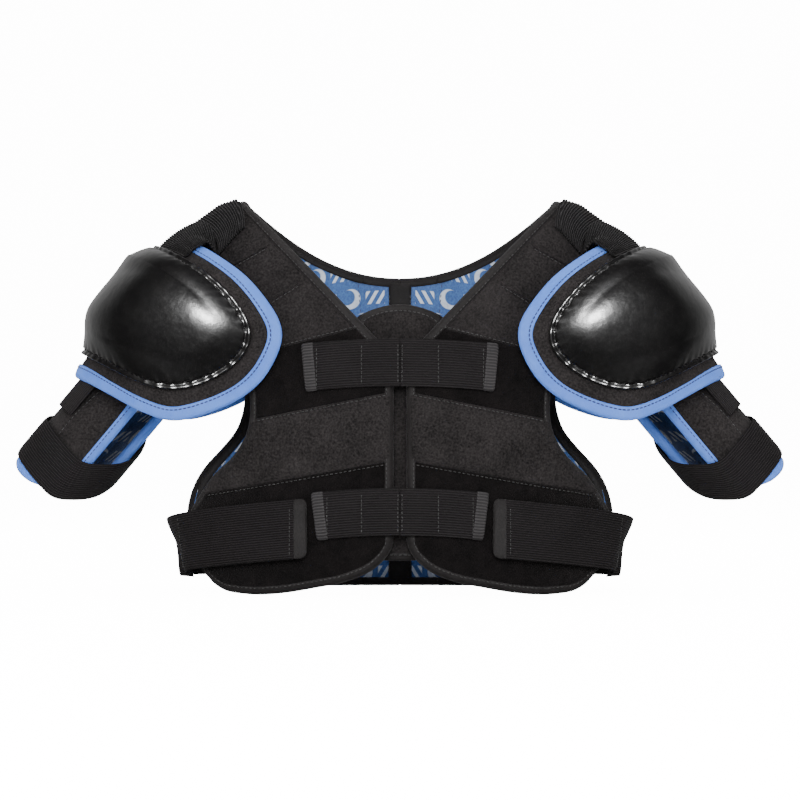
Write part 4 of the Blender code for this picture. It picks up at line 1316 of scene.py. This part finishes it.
def cap_cover(rim):
    """The glossy cover, gathered along a stitched line beside its lip."""
    insets = np.concatenate([np.linspace(0.030, 0.012, 8, endpoint=False),
                             np.linspace(0.012, 0.0, 19)])
    rings, tip = dome_layer(rim, 0.0, insets, INNER_RINGS)
    normal = grid_normals(rings, wrap=True)
    normal *= np.sign(normal[10, 0] @ CAP_POLE_NORMAL)
    inside = np.concatenate([np.full(INNER_RINGS - 1, DEEP_INSIDE), insets])
    edge = np.concatenate([rings[-1], rings[-1][:1]])[None]
    gathers = pucker(lengths(edge, 1)[0])[:-1]
    groove = -0.0017 * bell(inside, LIP_STITCH, 0.0013)
    roll = 0.0012 * bell(inside, 0.0026, 0.0020)
    curl = -0.0030 * (1 - smoothstep(0, 0.0018, inside))
    ripple = 0.0009 * bell(inside, LIP_STITCH, 0.0030) + 0.00015 * bell(inside, 0.011, 0.004)
    shift = (groove + roll + curl)[:, None] + ripple[:, None] * gathers[None]
    cover = rings + normal * shift[..., None]
    under = rings + normal * (shift - COVER)[..., None]
    place("cap_shine", closed_dome(cover, tip, under, tip - CAP_POLE_NORMAL * COVER), "gloss",
          "cap", ("cap_cover",))
    line = int(np.argmin(np.abs(inside - LIP_STITCH)))
    sew("cap_lip_stitches", rings[line], normal[line], 0.0, -0.0011, "cap", length=0.0030,
        pitch=0.0046, width=0.0006, closed=True)


def cap_inside(rim):
    """The plate under the cover, and the pad whose bound brim stands out past the lip."""
    insets = np.linspace(0.020, 0.0075, 5)
    (top, top_tip), (low, low_tip) = (dome_layer(rim, depth, insets, 18) for depth in PLATE)
    place("cap_shield", closed_dome(top, top_tip, low, low_tip), "plastic", "cap", ("cap_plate",))
    across, out = brim_frame(rim)
    t = np.linspace(1, 0, 13)[1:, None, None]
    swell = 0.0004 * np.sin(math.pi * t) - 0.0010 * (1 - t) ** 4
    faces = []
    for drop, sign in ((0.0, 1), (PAD, -1)):
        rings, tip = dome_layer(rim, PAD_TOP + drop, np.linspace(0.012, 0, 7), 16)
        brim = mix(rim, lip_line(rim, across), t) + out * (swell * sign - drop)
        faces += [np.concatenate([rings, brim]), tip]
    place("cap_flange", closed_dome(*faces), "knit", "cap", ("cap_pad",))


def cap_binding(rim):
    across, out = brim_frame(rim)
    path = rim + across * 0.0028 - out * PAD / 2
    points, normals = resample(path, out, 0.0025, 3, closed=True)
    _, _, sideways = path_frame(points, normals, True)
    outwards = np.sign(np.mean(np.sum(sideways * (points - points.mean(0)), -1)))
    high = PAD / 2 + 0.0012
    profile = bound_profile(0.0086, 0.0036, high, -PAD / 2 - 0.0010)
    rings = sweep(points, normals, [(s * outwards, n) for s, n in profile], True)
    place("cap_tape", Solid().tube(rings, True), "blue_tape", "cap", ("cap_binding",), 1)
    sew("cap_tape_stitches", points, normals, -0.0060 * outwards, high, "cap", "blue_thread",
        length=0.0028, pitch=0.0036, width=0.0006, closed=True)


# ---- arm guards ---------------------------------------------------------------------------
ARM_EDGES = (-115.5, 168.5)  # degrees round the arm at the guard's two long edges
ARM_DEPTH = 0.0074
ARM_TUCK = 0.0048            # the top of the guard draws in under the cap
ARM_SEAMS = (-52, 8, 66, 120)
ARM_TAPE_INSET = 3.5         # degrees from the guard's edge to the line of its tape
ARM_STRAP_LIFT = 0.0016
ARM_ROW = 128.0              # degrees round the arm of the row that holds the strap


def arm_normals(angles):
    t = np.radians(angles)
    return unit(ARM_OUT * np.cos(t)[..., None] * ARM_FLATNESS
                + np.array((0, 1, 0)) * np.sin(t)[..., None])


def arm_guard():
    angles = mix(ARM_EDGES[0], ARM_EDGES[1], spread(74, 0.2))[None]
    along = mix(arm_top(angles), arm_end(angles) + 0.0022, spread(34, 0.3)[:, None])
    angles = angles + 0 * along
    flat = arm_point(angles, along, ARM_RADIUS)
    squeeze = edge_squeeze(flat, ("left", "right", "last"), 0.0012, 0.008)
    seams = [int(np.argmin(np.abs(angles[0] - a))) for a in ARM_SEAMS]
    groove = seam_groove(angles.shape[1], seams, 0.0009, 1.0)
    tucked = ARM_TUCK * (1 - smoothstep(0, 0.036, along - arm_top(angles)))
    outer = arm_point(angles, along, ARM_RADIUS - tucked - squeeze - groove)
    inner = arm_point(angles, along, ARM_RADIUS - tucked - ARM_DEPTH + squeeze)
    pins = borders(*angles.shape)
    pins_outer = pins.copy()
    pins_outer[:, seams] = True
    outer, inner = padded(outer, inner, pins_outer, pins, ARM_SWELL)
    normal = arm_normals(angles)
    place_padded(("arm_body", "arm_print"), (outer, inner), normal, "arm",
                 ("arm_shell", "arm_foam", "arm_liner"), 0.0010)
    for k, column in enumerate(seams, 1):
        sew(f"arm_seam_{k}", outer[2:-2, column], normal[2:-2, column], 0.0012, 0.0004, "arm",
            pitch=0.0040)
    arm_tape()
    arm_strap()
    arm_flap()


def arm_tape():
    """Blue tape down the front edge of the guard, round its lower end and up the back edge."""
    front, back = ARM_EDGES[0] + ARM_TAPE_INSET, ARM_EDGES[1] - ARM_TAPE_INSET
    s = np.linspace(0, 1, 30)
    across = np.linspace(front + 3, back - 3, 70)
    angles = np.concatenate([np.full(30, front), across, np.full(30, back)])
    along = np.concatenate([mix(arm_top(front), arm_end(front) - 0.002, s), arm_end(across),
                            mix(arm_end(back) - 0.002, arm_top(back), s)])
    points = arm_point(angles, along, ARM_RADIUS)
    points, normals = resample(points, arm_normals(angles), 0.0025, 6)
    _, _, sideways = path_frame(points, normals)
    outwards = 1 if sideways[len(points) // 2] @ ARM_DOWN > 0 else -1
    profile = bound_profile(0.0060, 0.0038, 0.0007, -ARM_DEPTH - 0.0007)
    rings = sweep(points, normals, [(s * outwards, n) for s, n in profile])
    place("arm_tape", Solid().tube(rings), "blue_tape", "arm", ("arm_binding",), 1)
    sew("arm_tape_stitches", points, normals, -0.0040 * outwards, 0.0007, "arm", "blue_thread")


def arm_strap_line(angle):
    """Distance down the arm of the strap's centre line, eased where the strap turns."""
    def straight(a):
        wrapped = 0.1035 - 0.034 * (ARM_STRAP_HINGE - a) / 76
        front = 0.094 + 0.0095 * a / ARM_STRAP_HINGE
        back = 0.094 - 0.019 * a / 130
        return np.where(a < ARM_STRAP_HINGE, wrapped, np.where(a < 0, front, back))
    return np.mean([straight(np.asarray(angle) + o) for o in np.linspace(-12, 12, 13)], axis=0)


def arm_strap_sheet(first, last, count, near, far, shorten=0.0):
    angles = np.linspace(first, last, count)[:, None]
    walked = -angles * math.radians(1) * ARM_RADIUS

    def point(edge, out):
        return arm_point(angles, arm_strap_line(angles) + edge * CHEST_STRAP / 2, ARM_RADIUS + out)
    return strap_sheet(point, walked, CHEST_STRAP / 2, near, far, shorten,
                       lambda edge: np.sin(walked / 0.006))


def arm_strap():
    hinge, lift, top = ARM_STRAP_HINGE, ARM_STRAP_LIFT, ARM_STRAP_LIFT + STRAP
    place("arm_web", arm_strap_sheet(132, hinge - 3, 80, lift, top), "elastic", "arm",
          ("arm_strap",), 1)
    fold = [arm_point(a, arm_strap_line(a), ARM_RADIUS + lift) for a in (hinge - 1.5, hinge - 14)]
    place("arm_web_end", arm_strap_sheet(hinge + 3, -221, 50, lift, top, 0.004), "elastic", "arm",
          ("arm_strap_end",), 1, ("arm_strap_end", *fold))
    place("arm_hook", arm_strap_sheet(-211, -224.5, 14, lift - 0.0002, top + 0.0006, 0.005),
          "hook", "arm_strap_end", (), 1)
    along = arm_strap_line(ARM_ROW) + np.linspace(-0.44, 0.44, ROW_POINTS) * CHEST_STRAP
    angles = np.full(ROW_POINTS, ARM_ROW)
    sew("arm_web_stitches", arm_point(angles, along, ARM_RADIUS + top), arm_normals(angles), 0,
        0.0001, "arm")


def arm_flap():
    """Elastic that hangs the guard from the cap, curved round the top of the arm."""
    angles, along = np.meshgrid(np.linspace(-52, 42, 40), np.linspace(0.028, 0.062, 18))
    top, low = (arm_point(angles, along, ARM_RADIUS + out) for out in (0.0028, 0.0010))
    fold = [arm_point(0, down, ARM_RADIUS) for down in (0.038, 0.056)]
    place("arm_flap_web", Solid().sheet(top, low), "elastic", "cap", ("arm_flap",), 1,
          ("arm", *fold))


# ---- studio -------------------------------------------------------------------------------
CAMERA_AWAY = 2.895
CAMERA_HEIGHT = 0.156
CHEST_FRONT = 0.095
FIELD_WIDTH = 0.632          # width of the view at the front of the chest
FLOOR_HALF = 6
WORLD = 0.5                  # even light from all round
WHITE = 14.0                 # brightness of the floor and the world where the camera sees them
ONLY_SHINE = "shine"         # this lamp is seen in reflections alone, and most others never are
LAMPS = (                    # name, place, size, watts, what it is aimed at
    ("key", (0.0, -2.3, 1.05), (1.3, 1.0), 60, (0, 0, 0.2)),
    (ONLY_SHINE, (0.0, -2.35, 0.78), (0.9, 0.8), 210, (0, 0, 0.2)),
    ("left_side", (-2.1, -0.9, 0.9), (0.8, 1.6), 26, (0, 0, 0.15)),
    ("right_side", (2.1, -0.9, 0.9), (0.8, 1.6), 26, (0, 0, 0.15)),
    ("top", (0.0, 0.2, 2.2), (2.4, 1.6), 40, (0, 0, 0.1)),
    ("behind", (0.0, 1.3, 1.3), (2.6, 0.8), 18, (0, 0.2, 0.2)),
)


def surroundings():
    """Reflections see a dark room with a bright far side; the rest sees soft even light."""
    world = bpy.data.worlds.new("studio")
    world.use_nodes = True
    nodes, links = world.node_tree.nodes, world.node_tree.links
    shade = nodes["Background"]
    shade.inputs[0].default_value = (1, 1, 1, 1)
    split = nodes.new("ShaderNodeSeparateXYZ")
    links.new(nodes.new("ShaderNodeTexCoord").outputs["Generated"], split.inputs[0])
    far = nodes.new("ShaderNodeMapRange")
    for socket, value in zip(far.inputs[1:5], (0.35, 0.95, 0.02, 0.7)):
        socket.default_value = value
    links.new(split.outputs[1], far.inputs[0])
    pick = nodes.new("ShaderNodeMix")
    pick.inputs["A"].default_value = WORLD
    links.new(nodes.new("ShaderNodeLightPath").outputs["Is Glossy Ray"], pick.inputs["Factor"])
    links.new(far.outputs[0], pick.inputs["B"])
    seen = nodes.new("ShaderNodeMath")
    seen.operation = "MULTIPLY_ADD"
    seen.inputs[1].default_value = WHITE
    links.new(nodes.new("ShaderNodeLightPath").outputs["Is Camera Ray"], seen.inputs[0])
    links.new(pick.outputs["Result"], seen.inputs[2])
    links.new(seen.outputs[0], shade.inputs[1])
    bpy.context.scene.world = world


def white_floor():
    paint = Cloths("studio_paper")
    grain = paint.noise(0.01, 2.0)
    tone = paint.blend(grain, (0.86, 0.86, 0.86, 1), (0.90, 0.90, 0.90, 1))
    paper = paint.finish(tone, grain, 0.00002, 0.9)
    glow = paint.node("ShaderNodeLightPath").outputs["Is Camera Ray"]
    paint.put(paint.shader.inputs["Emission Strength"], paint.times(glow, WHITE))
    paint.shader.inputs["Emission Color"].default_value = (1, 1, 1, 1)
    spots = np.linspace(-FLOOR_HALF, FLOOR_HALF, 9)
    x, y = np.meshgrid(spots, spots)
    top = np.stack([x, y, 0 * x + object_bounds()[0].z - 0.001], -1)
    floor = make("studio_floor", Solid().sheet(top, top - (0, 0, 0.01)), paper)
    floor.visible_glossy = False
    floor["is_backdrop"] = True


def studio():
    surroundings()
    white_floor()
    for name, place_at, size, power, aim in LAMPS:
        light = bpy.data.lights.new(name, "AREA")
        light.shape = "RECTANGLE"
        light.size, light.size_y = size
        light.energy = power
        lamp = bpy.data.objects.new(name, light)
        lamp.location = place_at
        lamp.visible_glossy = name in ("key", ONLY_SHINE)
        lamp.visible_diffuse = name != ONLY_SHINE
        lamp.rotation_euler = (Vector(aim) - Vector(place_at)).to_track_quat("-Z", "Y").to_euler()
        bpy.context.scene.collection.objects.link(lamp)
        lamp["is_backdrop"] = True

    camera = bpy.data.cameras.new("camera")
    camera.sensor_width = 36
    camera.lens = camera.sensor_width * (CAMERA_AWAY - CHEST_FRONT) / FIELD_WIDTH
    camera.clip_end = 20
    eye = bpy.data.objects.new("camera", camera)
    eye.location = (0, -CAMERA_AWAY, CAMERA_HEIGHT)
    eye.rotation_euler = (math.radians(90), 0, 0)
    bpy.context.scene.collection.objects.link(eye)
    bpy.context.scene.camera = eye


# ---- build --------------------------------------------------------------------------------
front_panel()
back_panel()
edge_tape()
shoulder_webbing()
cap_webbing()
chest_pad()
chest_straps()
side_straps()
cap_edge = cap_rim(RIM_POINTS)
cap_cover(cap_edge)
cap_inside(cap_edge)
cap_binding(cap_edge)
arm_guard()
studio()
